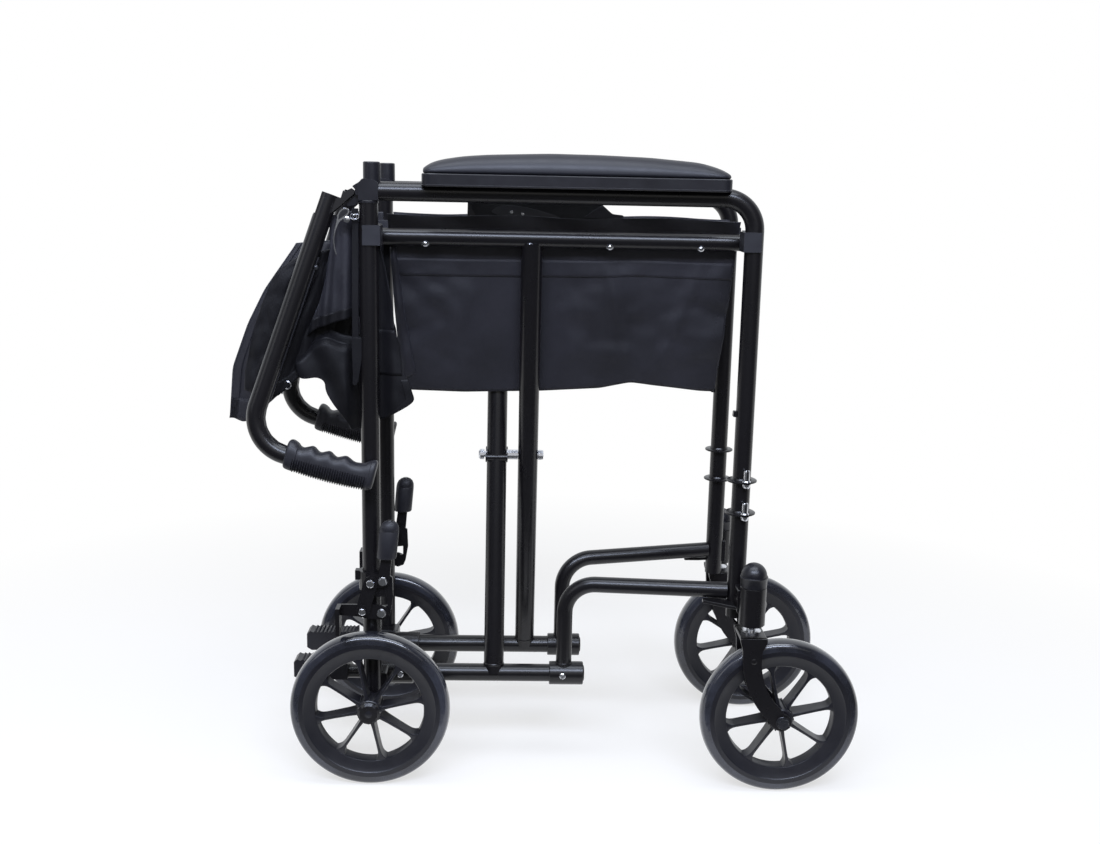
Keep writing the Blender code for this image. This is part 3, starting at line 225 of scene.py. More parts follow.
def finish(name, dark, light, rough, grain, metallic=0.0, coat=0.0, sheen=0.0, mottle=9.0, weave=None,
           streaks=None, specular=0.5):
    """A material with mottled colour, uneven gloss and a fine relief."""
    made = bpy.data.materials.new(name)
    tree = clear_tree(made)
    place = shader_node(tree, "TexCoord").outputs
    here = place["Object"]
    colours = {"Factor": mottled(tree, here, (0.0, 1.0), mottle, 5.0, 0.6),
               "A": (*dark, 1.0), "B": (*light, 1.0)}
    colour = shader_node(tree, "Mix", colours, data_type="RGBA").outputs["Result"]
    wear = mottled(tree, place["UV"] if streaks else here, rough, 60.0, 3.0, 0.6, streaks)
    scale, depth = grain
    threads = woven(tree, here, *weave) if weave else None
    normal = bump(tree, mottled(tree, here, None, scale, 3.0, 0.5), depth, 0.5, threads)
    shader = shader_node(tree, "BsdfPrincipled", {
        "Base Color": colour, "Roughness": wear, "Normal": normal, "Metallic": metallic,
        "Specular IOR Level": specular, "Coat Weight": coat, "Coat Roughness": 0.12, "Sheen Weight": sheen,
        "Sheen Roughness": 0.4, "Sheen Tint": (0.75, 0.80, 1.0, 1.0)})
    shader_node(tree, "OutputMaterial", {0: shader.outputs[0]})
    return made


PAINT = finish("black_paint", (0.0058, 0.0051, 0.0058), (0.0080, 0.0072, 0.0084), (0.27, 0.29),
               (300.0, 0.000001), specular=0.42)
PLASTIC = finish("black_plastic", (0.0075, 0.0073, 0.0100), (0.0115, 0.0112, 0.0150), (0.30, 0.42),
                 (1600.0, 0.00005), specular=0.42)
GUIDE_NYLON = finish("guide_nylon", (0.012, 0.012, 0.016), (0.020, 0.020, 0.026), (0.42, 0.55),
                     (1500.0, 0.00008))
RUBBER = finish("grip_rubber", (0.0110, 0.0106, 0.0140), (0.0170, 0.0166, 0.0215), (0.42, 0.56),
                (1400.0, 0.00008), specular=0.42)
# The light bluish patches of the mottled tyre colour are partly random tone and partly painted reflection of
# the floor and lamps
TYRE = finish("tyre", (0.008, 0.008, 0.010), (0.040, 0.042, 0.055), (0.10, 0.24), (85.0, 0.0011), coat=0.6,
              mottle=14.0, streaks=(0.15, 1.0, 1.0))
NYLON = finish("nylon", (0.0105, 0.0100, 0.0130), (0.0240, 0.0228, 0.0300), (0.50, 0.62), (420.0, 0.00020),
               sheen=0.12, weave=(0.0013, 0.0003), mottle=8.0, specular=0.34)
# Darker copy of the nylon: painted shade for the back's outer fold, edge strip, bag, wing, hems and tie
# strap, which hang in shade
PAINTED_SHADE_NYLON = finish("back_nylon", (0.0036, 0.0034, 0.0040), (0.0080, 0.0076, 0.0094), (0.50, 0.64),
                     (420.0, 0.00020), sheen=0.02, weave=(0.0011, 0.0001), mottle=5.0, specular=0.20)
WEBBING = finish("webbing", (0.006, 0.006, 0.007), (0.010, 0.010, 0.012), (0.60, 0.78), (500.0, 0.0002),
                 sheen=0.15, weave=(0.0018, 0.0002), specular=0.3)
THREAD = finish("thread", (0.010, 0.010, 0.014), (0.016, 0.016, 0.022), (0.74, 0.86), (900.0, 0.0001),
                sheen=0.1, specular=0.2)
VINYL = finish("vinyl", (0.0080, 0.0080, 0.0120), (0.0110, 0.0112, 0.0165), (0.40, 0.47), (1100.0, 0.00005),
               mottle=6.0, specular=0.36)
ZINC = finish("zinc", (0.62, 0.63, 0.66), (0.68, 0.69, 0.73), (0.14, 0.24), (200.0, 0.00003), metallic=1.0)
BLACK_ZINC = finish("black_zinc", (0.030, 0.030, 0.033), (0.060, 0.060, 0.066), (0.22, 0.36),
                    (700.0, 0.00003), metallic=0.6)
SLOTS = {"black_paint": PAINT, "black_plastic": PLASTIC, "grip_rubber": RUBBER, "tyre": TYRE, "nylon": NYLON,
         "vinyl": VINYL, "zinc": ZINC}
SLOT_OF = {made: slot for slot, made in SLOTS.items()}
SLOT_OF.update({GUIDE_NYLON: "black_plastic", PAINTED_SHADE_NYLON: "nylon", WEBBING: "nylon", THREAD: "nylon",
                BLACK_ZINC: "zinc"})


# Mesh helpers. A shape is a pair of a list of points and a list of faces
def mesh_object(name, points, faces, material, angle=35.0, uvs=None):
    data = bpy.data.meshes.new(name)
    data.from_pydata([tuple(p) for p in points], [], [tuple(f) for f in faces])
    if uvs is not None:
        layer = data.uv_layers.new(name="UVMap")
        for loop in data.loops:
            layer.data[loop.index].uv = uvs[loop.vertex_index]
    data.validate()
    made = add_object(name, data)
    data.materials.append(material)
    data.shade_smooth()
    data.set_sharp_from_angle(angle=math.radians(angle))
    return made


def thicken(made, thick, offset=-1.0):
    solid = made.modifiers.new("thickness", "SOLIDIFY")
    solid.thickness = thick
    solid.offset = offset


def bevel(made, width, segments=2):
    edge = made.modifiers.new("bevel", "BEVEL")
    edge.width = width
    edge.segments = segments
    edge.limit_method = "ANGLE"
    edge.angle_limit = math.radians(35.0)
    edge.harden_normals = True


def piece(name, shape, material, body, nodes=(), angle=35.0, edge=None, thick=None, slot=None, uvs=None):
    """A visible piece on its body, in place of the nodes. Edge and thickness are rows of modifier values."""
    made = mesh_object(name, *shape, material, angle, uvs)
    if thick:
        thicken(made, *thick)
    if edge:
        bevel(made, *edge)
    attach(made, body)
    if nodes:
        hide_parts(*nodes)
    return made


def both(name, shape, material, body, nodes=(), twin=None, **rest):
    """A right-hand piece and its mirrored left-hand twin, each on its own body."""
    return [piece(side + name, form, material, side + body, [side + node for node in nodes], **rest)
            for side, form in (("right_", shape), ("left_", flipped(twin or shape)))]


def flipped(shape):
    points, faces = shape
    return [Vector((p[0], -p[1], p[2])) for p in points], [tuple(reversed(f)) for f in faces]


def merged(*shapes):
    points, faces = [], []
    for some, more in shapes:
        start = len(points)
        points += list(some)
        faces += [tuple(i + start for i in face) for face in more]
    return points, faces


def loft(rings, closed=False):
    """Skin over rings of equal length, with flat ends or joined into a loop."""
    count = len(rings[0])
    points = [p for ring in rings for p in ring]
    faces = []
    for i in range(len(rings) if closed else len(rings) - 1):
        a = i * count
        b = ((i + 1) % len(rings)) * count
        for j in range(count):
            k = (j + 1) % count
            faces.append((a + j, b + j, b + k, a + k))
    if not closed:
        faces.append(tuple(range(count)))
        faces.append(tuple(range((len(rings) - 1) * count, len(rings) * count))[::-1])
    return points, faces


def sheet(rows):
    """Open grid of points."""
    width = len(rows[0])
    faces = []
    for i in range(len(rows) - 1):
        for j in range(width - 1):
            a = i * width + j
            faces.append((a, a + 1, a + width + 1, a + width))
    return [p for row in rows for p in row], faces


def circle(centre, side, up, radius, count):
    angles = [2 * math.pi * i / count for i in range(count)]
    return [centre + (side * math.cos(a) + up * math.sin(a)) * radius for a in angles]


def turned(centre, axis, profile, count=24):
    """Stack of circles of (distance along the axis, radius)."""
    axis = Vector(axis).normalized()
    side = axis.orthogonal().normalized()
    up = axis.cross(side)
    return loft([circle(centre + axis * d, side, up, max(r, 0.00005), count) for d, r in profile])


def dome(centre, axis, radius, rise):
    return turned(centre, axis, [(rise * share, radius * size) for share, size in
                                 ((0, 1), (0.25, 0.97), (0.6, 0.78), (0.9, 0.42), (1, 0.1))])


def tube(line, radius, count=10):
    """Round tube along a line of points."""
    rings = []
    normal = (line[1] - line[0]).normalized().orthogonal().normalized()
    for i, point in enumerate(line):
        run = (line[min(i + 1, len(line) - 1)] - line[max(i - 1, 0)]).normalized()
        normal = (normal - run * normal.dot(run)).normalized()
        rings.append(circle(point, normal, run.cross(normal), radius, count))
    return loft(rings)


def bent(corners, bend, steps):
    """The corners with each inner one rounded to the bend radius."""
    line = [corners[0]]
    for before, corner, after in zip(corners, corners[1:], corners[2:]):
        to_last = (before - corner).normalized()
        to_next = (after - corner).normalized()
        half = to_last.angle(to_next) / 2
        middle = corner + (to_last + to_next).normalized() * bend / math.sin(half)
        first, last = (corner + way * bend / math.tan(half) - middle for way in (to_last, to_next))
        line += [middle + first.slerp(last, i / steps) * bend for i in range(steps + 1)]
    return line + [corners[-1]]


def prism(outline, low, high):
    """The outline of (x, z) extruded along Y."""
    return loft([[at(x, y, z) for x, z in outline] for y in (low, high)])


def rounded(corners, radius, steps=5):
    """A closed outline of (x, z) with its corners rounded."""
    outline = []
    count = len(corners)
    for i in range(count):
        before, corner, after = (Vector(corners[(i + k) % count]) for k in (-1, 0, 1))
        reach = min(radius, (before - corner).length / 2, (after - corner).length / 2)
        first, last = (corner + (other - corner).normalized() * reach for other in (before, after))
        for k in range(steps + 1):
            t = k / steps
            outline.append(tuple(first * (1 - t) ** 2 + corner * 2 * t * (1 - t) + last * t ** 2))
    return outline


def shifted(outline, x=0.0, z=0.0):
    return [(x + a, z + b) for a, b in outline]


def eased(value):
    value = min(max(value, 0.0), 1.0)
    return value * value * (3 - 2 * value)


def on_line(line, place):
    """Value of a line of (place, value) at a place."""
    if place <= line[0][0]:
        return line[0][1]
    for (a, first), (b, last) in zip(line, line[1:]):
        if place <= b:
            return first + (last - first) * (place - a) / (b - a)
    return line[-1][1]


def smooth_line(line, place, reach):
    """Average of a line of values over a short reach, which rounds its corners."""
    return sum(on_line(line, place + reach * (k - 3) / 3) for k in range(7)) / 7


# Wheels
SPOKE_TURN = math.radians(12.0)
TYRE_SEAT = 0.0832
TYRE_STEPS, TYRE_SPANS, RIM_SPANS = 24, 160, 128
HUB_RADIUS = 0.0148
# Distance out, half width and half depth of a spoke
SPOKE = ((0.010, 0.0034, 0.0112), (0.017, 0.0024, 0.0110), (0.026, 0.0018, 0.0106),
         (0.044, 0.0016, 0.0100), (0.056, 0.0018, 0.0095), (0.060, 0.0024, 0.0092),
         (0.063, 0.0036, 0.0090), (0.0655, 0.0056, 0.0088), (0.068, 0.0090, 0.0086))


def wheel_axes(turn):
    """Directions outward and across at a turn round the wheel."""
    return Vector((math.cos(turn), 0, math.sin(turn))), Vector((-math.sin(turn), 0, math.cos(turn)))


def lathe(centre, profile, count):
    """Closed profile of (radius, offset in Y) round the Y axis through the centre."""
    rings = []
    for i in range(count):
        out = wheel_axes(2 * math.pi * i / count)[0]
        rings.append([centre + out * r + Vector((0, y, 0)) for r, y in profile])
    return loft(rings, closed=True)


def tyre_profile():
    profile = []
    for i in range(TYRE_STEPS + 1):
        angle = math.pi * i / TYRE_STEPS
        swell = math.sin(angle) ** 0.42
        profile.append((TYRE_SEAT + (WHEEL_RADIUS - TYRE_SEAT) * swell,
                        -0.0135 * math.cos(angle) * (0.93 + 0.07 * swell)))
    return profile


def rim_profile():
    """Moulded rim with a wide flange that laps the tyre."""
    edge, inner, half = 0.0880, 0.0665, 0.0128
    near = [(edge, half - 0.0014), (edge - 0.0008, half), (TYRE_SEAT - 0.0016, half),
            (TYRE_SEAT - 0.0030, half - 0.0012), (inner + 0.0030, half - 0.0030),
            (inner + 0.0008, half - 0.0036), (inner, half - 0.0052)]
    far = [(r, -y) for r, y in near[::-1]]
    return near + [(inner + 0.0006, 0)] + far + [(TYRE_SEAT, -half + 0.0020), (TYRE_SEAT, half - 0.0020)]


def blades(centre, turn, count, rows, corners):
    """Blades round the hub, each a row of sections of (distance out, half width, half depth)."""
    shapes = []
    for i in range(count):
        out, across = wheel_axes(turn + 2 * math.pi * i / count)
        shapes.append(loft([[centre + out * reach + across * a * half + Vector((0, b * deep, 0))
                             for a, b in corners] for reach, half, deep in rows]))
    return shapes


def hub(centre, half):
    rows = ((-half, 0.0020), (0.0012 - half, 0.0004), (0.0040 - half, 0), (half - 0.0040, 0),
            (half - 0.0012, 0.0004), (half, 0.0020))
    barrel = turned(centre, Vector((0, 1, 0)), [(y, HUB_RADIUS - less) for y, less in rows], 48)
    ribs = blades(centre, SPOKE_TURN + math.pi / 16, 16,
                  ((HUB_RADIUS - 0.002, 0.0007, half - 0.002), (HUB_RADIUS + 0.0016, 0.0007, half - 0.0030)),
                  ((-1, -1), (1, -1), (1, 1), (-1, 1)))
    return [barrel] + ribs


def wheel(prefix, x, y, hub_half):
    profile = tyre_profile()
    count = len(profile)
    run = 2 * math.pi * WHEEL_RADIUS
    uvs = [(run * i / TYRE_SPANS, 0.045 * j / count) for i in range(TYRE_SPANS) for j in range(count)]
    for side, sign in (("right_", 1), ("left_", -1)):
        tyre = lathe(at(x, y * sign, WHEEL_RADIUS), profile, TYRE_SPANS)
        piece(side + prefix + "_tyre_rubber", tyre, TYRE, side + prefix + "_wheel", [side + prefix + "_tyre"],
              uvs=uvs)
    centre = at(x, y, WHEEL_RADIUS)
    spokes = blades(centre, SPOKE_TURN, 8, SPOKE, ((-1, -0.96), (-0.7, -1), (0.7, -1), (1, -0.96),
                                                   (1, 0.96), (0.7, 1), (-0.7, 1), (-1, 0.96)))
    rim = merged(lathe(centre, rim_profile(), RIM_SPANS), *spokes, *hub(centre, hub_half))
    both(prefix + "_rim_moulding", rim, PLASTIC, prefix + "_wheel", [prefix + "_rim"], edge=(0.0004, 2))


def wheels():
    wheel("rear", 0, REAR_WHEEL_Y, 0.0140)
    wheel("front", FRONT_AXLE, FRONT_WHEEL_Y, 0.0180)


# Frame tubes
ARM_TUBE_START = 0.0128
ARM_BEND = 0.0375
FRONT_POST_BOTTOM = 0.213
REAR_POST_BOTTOM = WHEEL_RADIUS - 0.0185
HANGER_Z = (0.3470, 0.3876)
HANGER_RADIUS = 0.0185
HANGER_PIN = (0.4552, -0.1012)
PEG_Z = (0.4660, 0.4737)
BRACE = 0.0127
BRACE_A = 0.151
BRACE_B = BRACE_A + 0.040
SEAT_RAIL = 0.0100
SPIGOT = 0.0070
RAIL_ENDS = (0.0106, 0.4454)
STRETCHER = 0.0100
STRETCHER_FRONT_Z = 0.246
STRETCHER_REAR_Z = 0.240
STRETCHER_LEG = 0.241
STRETCHER_BEND = 0.040
SLEEVE = 0.0148
FRONT_SLEEVE = (0.2225, 0.2660)
REAR_SLEEVE = (-0.008, 0.048)
BOTTOM_RAIL = (0.012, 0.2580)
STUB = 0.0085
REAR_STUB_END = -0.096
CASTER = FRONT_POST + 0.0140
HOUSING_RADIUS = 0.0160
HOUSING_Z = (0.2095, 0.2650)
BARREL_FOOT = HOUSING_Z[0] + 0.0065
CAP_RING_TOP = 0.2780
CAP_TOP = 0.2944


def weld(centre, axis, radius, size=0.0022):
    """Bead of weld round a tube."""
    rows = ((-1.3, -0.0002), (-0.6, size * 0.35), (0, size * 0.5), (0.6, size * 0.35), (1.3, -0.0002))
    return turned(centre, axis, [(size * share, radius + rise) for share, rise in rows], 48)


def side_tube():
    line = bent([at(ARM_TUBE_START, POST_Y, ARM_Z), at(FRONT_POST, POST_Y, ARM_Z),
                 at(FRONT_POST, POST_Y, FRONT_POST_BOTTOM)], ARM_BEND, 24)
    shapes = [tube(line, TUBE, 48)]
    edge = HANGER_RADIUS
    plate = ((-0.0013, TUBE - 0.0010), (-0.0013, edge - 0.0010), (-0.0007, edge), (0.0007, edge),
             (0.0013, edge - 0.0010), (0.0013, TUBE - 0.0010))
    for z in HANGER_Z:
        shapes.append(turned(at(FRONT_POST, POST_Y, z), UP, plate, 64))
        shapes.append(weld(at(FRONT_POST, POST_Y, z + 0.0004), UP, TUBE, 0.0026))
    peg = rounded([(FRONT_POST - TUBE - 0.0040, PEG_Z[0] + 0.0008), (FRONT_POST - 0.006, PEG_Z[0]),
                   (FRONT_POST - 0.006, PEG_Z[1]), (FRONT_POST - TUBE - 0.0034, PEG_Z[1])], 0.0012, 3)
    shapes.append(prism(peg, POST_Y - 0.0034, POST_Y + 0.0034))
    both("side_tube_form", merged(*shapes), PAINT, "frame", ["frame_tube"])


def rear_post():
    line = [at(0, POST_Y, z) for z in (REAR_POST_BOTTOM, 0.4, POST_TOP - 0.0004)]
    both("rear_post_form", merged(tube(line, TUBE, 48)), PAINT, "frame", ["rear_post"])


def stretcher():
    line = bent([at(FRONT_POST - 0.010, POST_Y + 0.0018, STRETCHER_FRONT_Z - 0.0003),
                 at(STRETCHER_LEG, RAIL_Y, STRETCHER_REAR_Z),
                 at(STRETCHER_LEG, RAIL_Y, BOTTOM_RAIL_Z + TUBE)], STRETCHER_BEND, 20)
    low, high = FRONT_SLEEVE
    run = high - low
    sleeve = turned(at(low, RAIL_Y, BOTTOM_RAIL_Z), AHEAD,
                    ((0, TUBE), (0, SLEEVE - 0.0008), (0.0008, SLEEVE), (run - 0.0008, SLEEVE),
                     (run, SLEEVE - 0.0008), (run, TUBE - 0.001), (run + 0.0012, TUBE - 0.0014),
                     (run + 0.0016, TUBE - 0.0030)), 48)
    bead = weld(at(STRETCHER_LEG, RAIL_Y, BOTTOM_RAIL_Z + SLEEVE - 0.001), UP, STRETCHER)
    shape = merged(tube(line, STRETCHER, 40), sleeve, bead)
    both("stretcher_form", shape, PAINT, "frame", ["stretcher_tube"])


def rear_fitting():
    low, high = REAR_SLEEVE
    run = high - low
    sleeve = turned(at(low, RAIL_Y, BOTTOM_RAIL_Z), AHEAD,
                    ((0, SLEEVE - 0.003), (0, SLEEVE - 0.0008), (0.0008, SLEEVE), (run - 0.0008, SLEEVE),
                     (run, SLEEVE - 0.0008), (run, TUBE)), 48)
    stub = tube([at(x, RAIL_Y, BOTTOM_RAIL_Z) for x in (REAR_STUB_END, low + 0.004)], STUB, 32)
    both("rear_fitting_form", merged(sleeve, stub), PAINT, "frame", ["rear_fitting"])
    saddle = shifted(((low, -0.009), (0.018, -0.009), (0.018, 0.013), (low, 0.013)), z=BOTTOM_RAIL_Z)
    both("rear_saddle", prism(rounded(saddle, 0.003), POST_Y, RAIL_Y - 0.010), PAINT, "frame",
         edge=(0.0010, 2))


def cross_members():
    """Each brace with the bottom rail at its foot and the other side's seat rail at its head."""
    start, end = RAIL_ENDS
    seat_rows = ((start - 0.0104, SPIGOT - 0.0008), (start - 0.0096, SPIGOT), (start, SPIGOT),
                 (start, SEAT_RAIL - 0.0007), (start + 0.0007, SEAT_RAIL), (end - 0.0007, SEAT_RAIL),
                 (end, SEAT_RAIL - 0.0007), (end, SPIGOT), (end + 0.0096, SPIGOT),
                 (end + 0.0104, SPIGOT - 0.0008))
    length = BOTTOM_RAIL[1] - BOTTOM_RAIL[0]
    bottom_rows = ((0, TUBE - 0.0006), (0.0006, TUBE), (length - 0.0006, TUBE), (length, TUBE - 0.0006))
    for letter, x, side in (("a", BRACE_A, -1), ("b", BRACE_B, 1)):
        low_y, high_y = -side * RAIL_Y, side * RAIL_Y
        foot = at(x, low_y, BOTTOM_RAIL_Z)
        head = at(x, high_y, SEAT_RAIL_Z)
        run = (head - foot).normalized()
        shape = merged(tube([foot, (foot + head) / 2, head - run * 0.004], BRACE, 48),
                       turned(at(0, high_y, SEAT_RAIL_Z), AHEAD, seat_rows, 40),
                       turned(at(BOTTOM_RAIL[0], low_y, BOTTOM_RAIL_Z), AHEAD, bottom_rows, 48),
                       weld(foot + run * (TUBE + 0.0004), run, BRACE, 0.0014))
        piece("cross_member_%s_form" % letter, shape, PAINT, "cross_" + letter, ["cross_member_" + letter])


def caster_housing():
    y = FRONT_WHEEL_Y
    foot, top = BARREL_FOOT, HOUSING_Z[1]
    barrel = turned(at(CASTER, y, 0), UP,
                    ((foot, HOUSING_RADIUS - 0.0012), (foot + 0.0012, HOUSING_RADIUS),
                     (top - 0.0008, HOUSING_RADIUS), (top, HOUSING_RADIUS - 0.0010)), 64)
    rear = FRONT_POST - 0.041
    corner = FRONT_POST - 0.022
    outline = [(rear, POST_Y - 0.004), (corner, POST_Y - 0.016), (CASTER - 0.010, y + 0.006),
               (CASTER, y + 0.010), (CASTER, POST_Y - 0.008), (FRONT_POST, POST_Y),
               (corner, POST_Y + 0.004), (rear, POST_Y + 0.004)]
    plate = loft([[at(*place, TYRE_TOP + rise) for place in outline] for rise in (0.0330, 0.0372)])
    both("caster_barrel", barrel, PAINT, "frame", ["caster_housing"])
    tie = shifted(((-0.018, 0.031), (0.002, 0.031), (0.002, 0.061), (-0.018, 0.061)), CASTER, TYRE_TOP)
    shape = merged(prism(rounded(tie, 0.003), y + 0.004, POST_Y + 0.002), plate)
    both("caster_tie", shape, PAINT, "frame", edge=(0.0009, 2))
    rise = CAP_TOP - CAP_RING_TOP
    ball = [(CAP_RING_TOP + 0.0006 + (rise - 0.0006) * math.sin(math.radians(a)),
             (HOUSING_RADIUS - 0.0003) * math.cos(math.radians(a))) for a in range(0, 91, 6)]
    ring = ((top - 0.0004, -0.0008), (top + 0.0004, 0), (CAP_RING_TOP - 0.0016, 0.0004),
            (CAP_RING_TOP - 0.0006, 0.0010), (CAP_RING_TOP + 0.0004, 0.0006))
    cap = turned(at(CASTER, y, 0), UP, [(z, HOUSING_RADIUS + more) for z, more in ring] + ball, 64)
    both("caster_cap", cap, PLASTIC, "frame")


# Caster fork. Its leg holds (share of the way ahead, share of the way down, half width)
FORK_LEG = ((0.00, 0.00, 0.0164), (-0.01, 0.055, 0.0162), (-0.04, 0.13, 0.0124), (-0.05, 0.20, 0.0116),
            (0.01, 0.43, 0.0109), (0.23, 0.67, 0.0105), (0.60, 0.87, 0.0104), (1.00, 1.00, 0.0108))
FORK_CROWN = (TYRE_TOP + 0.0040, TYRE_TOP + 0.0095)
FORK_HALF = 0.0250
FORK_STEPS = 40


def fork_outline():
    """Swept leg from the crown to a round tip at the axle."""
    reach = FRONT_AXLE - CASTER
    spine, front, rear = [], [], []
    for i in range(FORK_STEPS + 1):
        place = i / FORK_STEPS
        share = 1.0 if i == FORK_STEPS else smooth_line([(z, x) for x, z, half in FORK_LEG], place, 0.10)
        z = FORK_CROWN[1] + (WHEEL_RADIUS - FORK_CROWN[1]) * place
        spine.append(Vector((CASTER + reach * share, z)))
    for i, point in enumerate(spine):
        run = (spine[min(i + 1, FORK_STEPS)] - spine[max(i - 1, 0)]).normalized() if i else Vector((0, -1))
        half = smooth_line([(z, half) for x, z, half in FORK_LEG], i / FORK_STEPS, 0.03)
        front.append((point.x - run.y * half, point.y + run.x * half))
        rear.append((point.x + run.y * half, point.y - run.x * half))
    end = spine[-1]
    start = math.atan2(front[-1][1] - end.y, front[-1][0] - end.x)
    tip = [(end.x + half * math.cos(a), end.y + half * math.sin(a))
           for a in (start - math.pi * i / 16 for i in range(1, 16))]
    return front + tip + rear[::-1]


def fork():
    """Crown plate and two swept legs with rounded edges."""
    y = FRONT_WHEEL_Y
    low, high = FORK_CROWN
    outline = fork_outline()
    legs = [prism(outline, *sorted((y + side * FORK_HALF, y + side * (FORK_HALF - 0.0050))))
            for side in (-1, 1)]
    both("fork_form", merged(*legs), PAINT, "fork", ["fork"], edge=(0.0022, 4))
    deck = shifted(((-0.016, low), (0.016, low), (0.016, high), (-0.016, high)), CASTER)
    both("fork_crown", prism(deck, y - FORK_HALF + 0.0006, y + FORK_HALF - 0.0006), PAINT, "fork",
         edge=(0.0014, 3))
    x = CASTER + (FRONT_AXLE - CASTER) * 0.02
    dimples = [dome(at(x, y + side * (FORK_HALF - 0.0004), high - 0.0290), Vector((0, side, 0)),
                    0.0040, 0.0012) for side in (-1, 1)]
    both("fork_dimple", merged(*dimples), PAINT, "fork")
    spindle = turned(at(CASTER, y, 0), UP, ((high - 0.001, 0.0120), (high + 0.0022, 0.0120),
                                            (high + 0.0024, 0.0058), (BARREL_FOOT + 0.004, 0.0058)), 32)
    both("fork_spindle", spindle, ZINC, "fork")
    axle = tube([at(FRONT_AXLE, y + off, WHEEL_RADIUS) for off in (-0.0310, 0.0310)], 0.0040, 20)
    both("fork_axle", axle, BLACK_ZINC, "fork")


# Hinge of the push handle. The outlines of the bracket hold heights over the post
SPIGOT_AXIS = 0.003
SHOULDER_Z = POST_TOP + 0.0190
PLUG_TOP = SHOULDER_Z + 0.0250
SHOULDER = ((-0.0108, 0), (ARM_TUBE_START - 0.0003, 0), (ARM_TUBE_START - 0.0003, 0.0200), (0.0085, 0.0230),
            (-0.0055, 0.0250), (-0.0120, 0.0180), (-0.0110, 0.008))
HOOK = ((-0.0040, 0.0245), (-0.0182, 0.0158), (-0.0150, 0.0125), (-0.0150, 0.0065), (-0.0172, 0.0028),
        (-0.0212, 0.0004), (-0.0255, -0.0010), (-0.0240, -0.0075), (-0.0150, -0.0060), (-0.0085, 0.0005),
        (-0.0060, 0.010))
BROW = ((-0.0040, 0.0240), (-0.0176, 0.0156), (-0.0146, 0.0125), (-0.0140, 0.0060), (-0.0060, 0.0040))
RELEASE_RIVET = (-0.023, POST_TOP - 0.022)
RELEASE = ((0.0034, 0.0110), (-0.0010, 0.0136), (-0.0068, 0.0118), (-0.0110, 0.0050),
           (-0.0122, -0.0040), (-0.0146, -0.0130), (-0.0164, -0.0230), (-0.0156, -0.0330),
           (-0.0134, -0.0405), (-0.0122, -0.0405), (-0.0143, -0.0325), (-0.0151, -0.0230),
           (-0.0132, -0.0130), (-0.0098, -0.0040), (-0.0044, 0.0010), (0.0016, 0.0050))
RELEASE_DISH = ((0.0014, 0.0104), (-0.0016, 0.0118), (-0.0060, 0.0102), (-0.0094, 0.0046),
                (-0.0100, -0.0010), (-0.0050, 0.0030), (0.0002, 0.0064))


def post_bracket():
    """Moulded cap of the post: round plug, shoulder with its hook and the lug of the hinge."""
    plug = turned(at(SPIGOT_AXIS + 0.0010, POST_Y, 0), UP,
                  ((POST_TOP + 0.004, 0.0100), (PLUG_TOP - 0.0012, 0.0098), (PLUG_TOP - 0.0003, 0.0091),
                   (PLUG_TOP, 0.0076)), 40)
    forms = [prism(rounded(shifted(outline, z=POST_TOP), radius), POST_Y - half, POST_Y + half)
             for outline, radius, half in ((SHOULDER, 0.0022, 0.0100), (HOOK, 0.0016, 0.0028),
                                           (BROW, 0.0012, 0.0080))]
    both("post_bracket", merged(plug, *forms), PLASTIC, "frame", ["back_hinge"], edge=(0.0009, 2))
    collar = turned(at(0, POST_Y, POST_TOP - 0.0034), UP,
                    ((0, TUBE + 0.0002), (0.0006, TUBE + 0.0008), (0.0026, TUBE + 0.0008),
                     (0.0032, TUBE + 0.0002)), 48)
    both("post_collar", collar, PLASTIC, "frame")
    rivet = turned(at(RELEASE_RIVET[0], POST_Y - TUBE + 0.0010, RELEASE_RIVET[1]), OUT,
                   ((0, 0.0022), (0.0060, 0.0022), (0.0060, 0.0040), (0.0068, 0.0036), (0.0074, 0.0020)))
    both("release_rivet", rivet, ZINC, "frame")


def release_lever():
    """Cast zinc lever, a round dished head on the rivet with a thin tail, and its spring."""
    low = POST_Y - TUBE - 0.0032
    lever, dish = (rounded(shifted(outline, *RELEASE_RIVET), radius)
                   for outline, radius in ((RELEASE, 0.0030), (RELEASE_DISH, 0.0020)))
    both("release_lever_form", prism(lever, low, low + 0.0018), ZINC, "release_lever", ["release_lever"],
         edge=(0.0005, 2))
    # The dish is a flat inset of dark zinc on the head: painted dark reflection in the hollow of the dished
    # head
    both("release_dish", prism(dish, low - 0.0003, low + 0.0006), BLACK_ZINC, "release_lever")
    x, z = RELEASE_RIVET
    coil = [at(x + 0.0052 + 0.0030 * math.cos(a) + 0.0004 * a, POST_Y - TUBE + 0.0004,
               z + 0.0030 + 0.0030 * math.sin(a)) for a in (math.pi * k / 10 for k in range(46))]
    both("release_spring", tube(coil, 0.0006, 8), ZINC, "frame")


# Armrest: base board with rounded corners, and a moulded foam pad with its own skin
ARM_BASE = (0.062, 0.421)
ARM_BASE_Z = (ARM_Z + 0.0065, ARM_Z + 0.0215)
ARM_BASE_HALF = 0.026
PAD_STEPS = 64
PAD_CROWN = ((0.0625, 0.0060), (0.069, 0.0112), (0.084, 0.0160), (0.110, 0.0202), (0.140, 0.0225),
             (0.210, 0.0250), (0.267, 0.0246), (0.326, 0.0228), (0.384, 0.0182), (0.408, 0.0118),
             (0.4205, 0.0055))


def board_ring(z, inset):
    low, high = ARM_BASE[0] + inset, ARM_BASE[1] - inset
    half = ARM_BASE_HALF - inset
    corners = ((low, POST_Y - half), (high, POST_Y - half), (high, POST_Y + half), (low, POST_Y + half))
    return [at(x, y, z) for x, y in rounded(corners, 0.012, 8)]


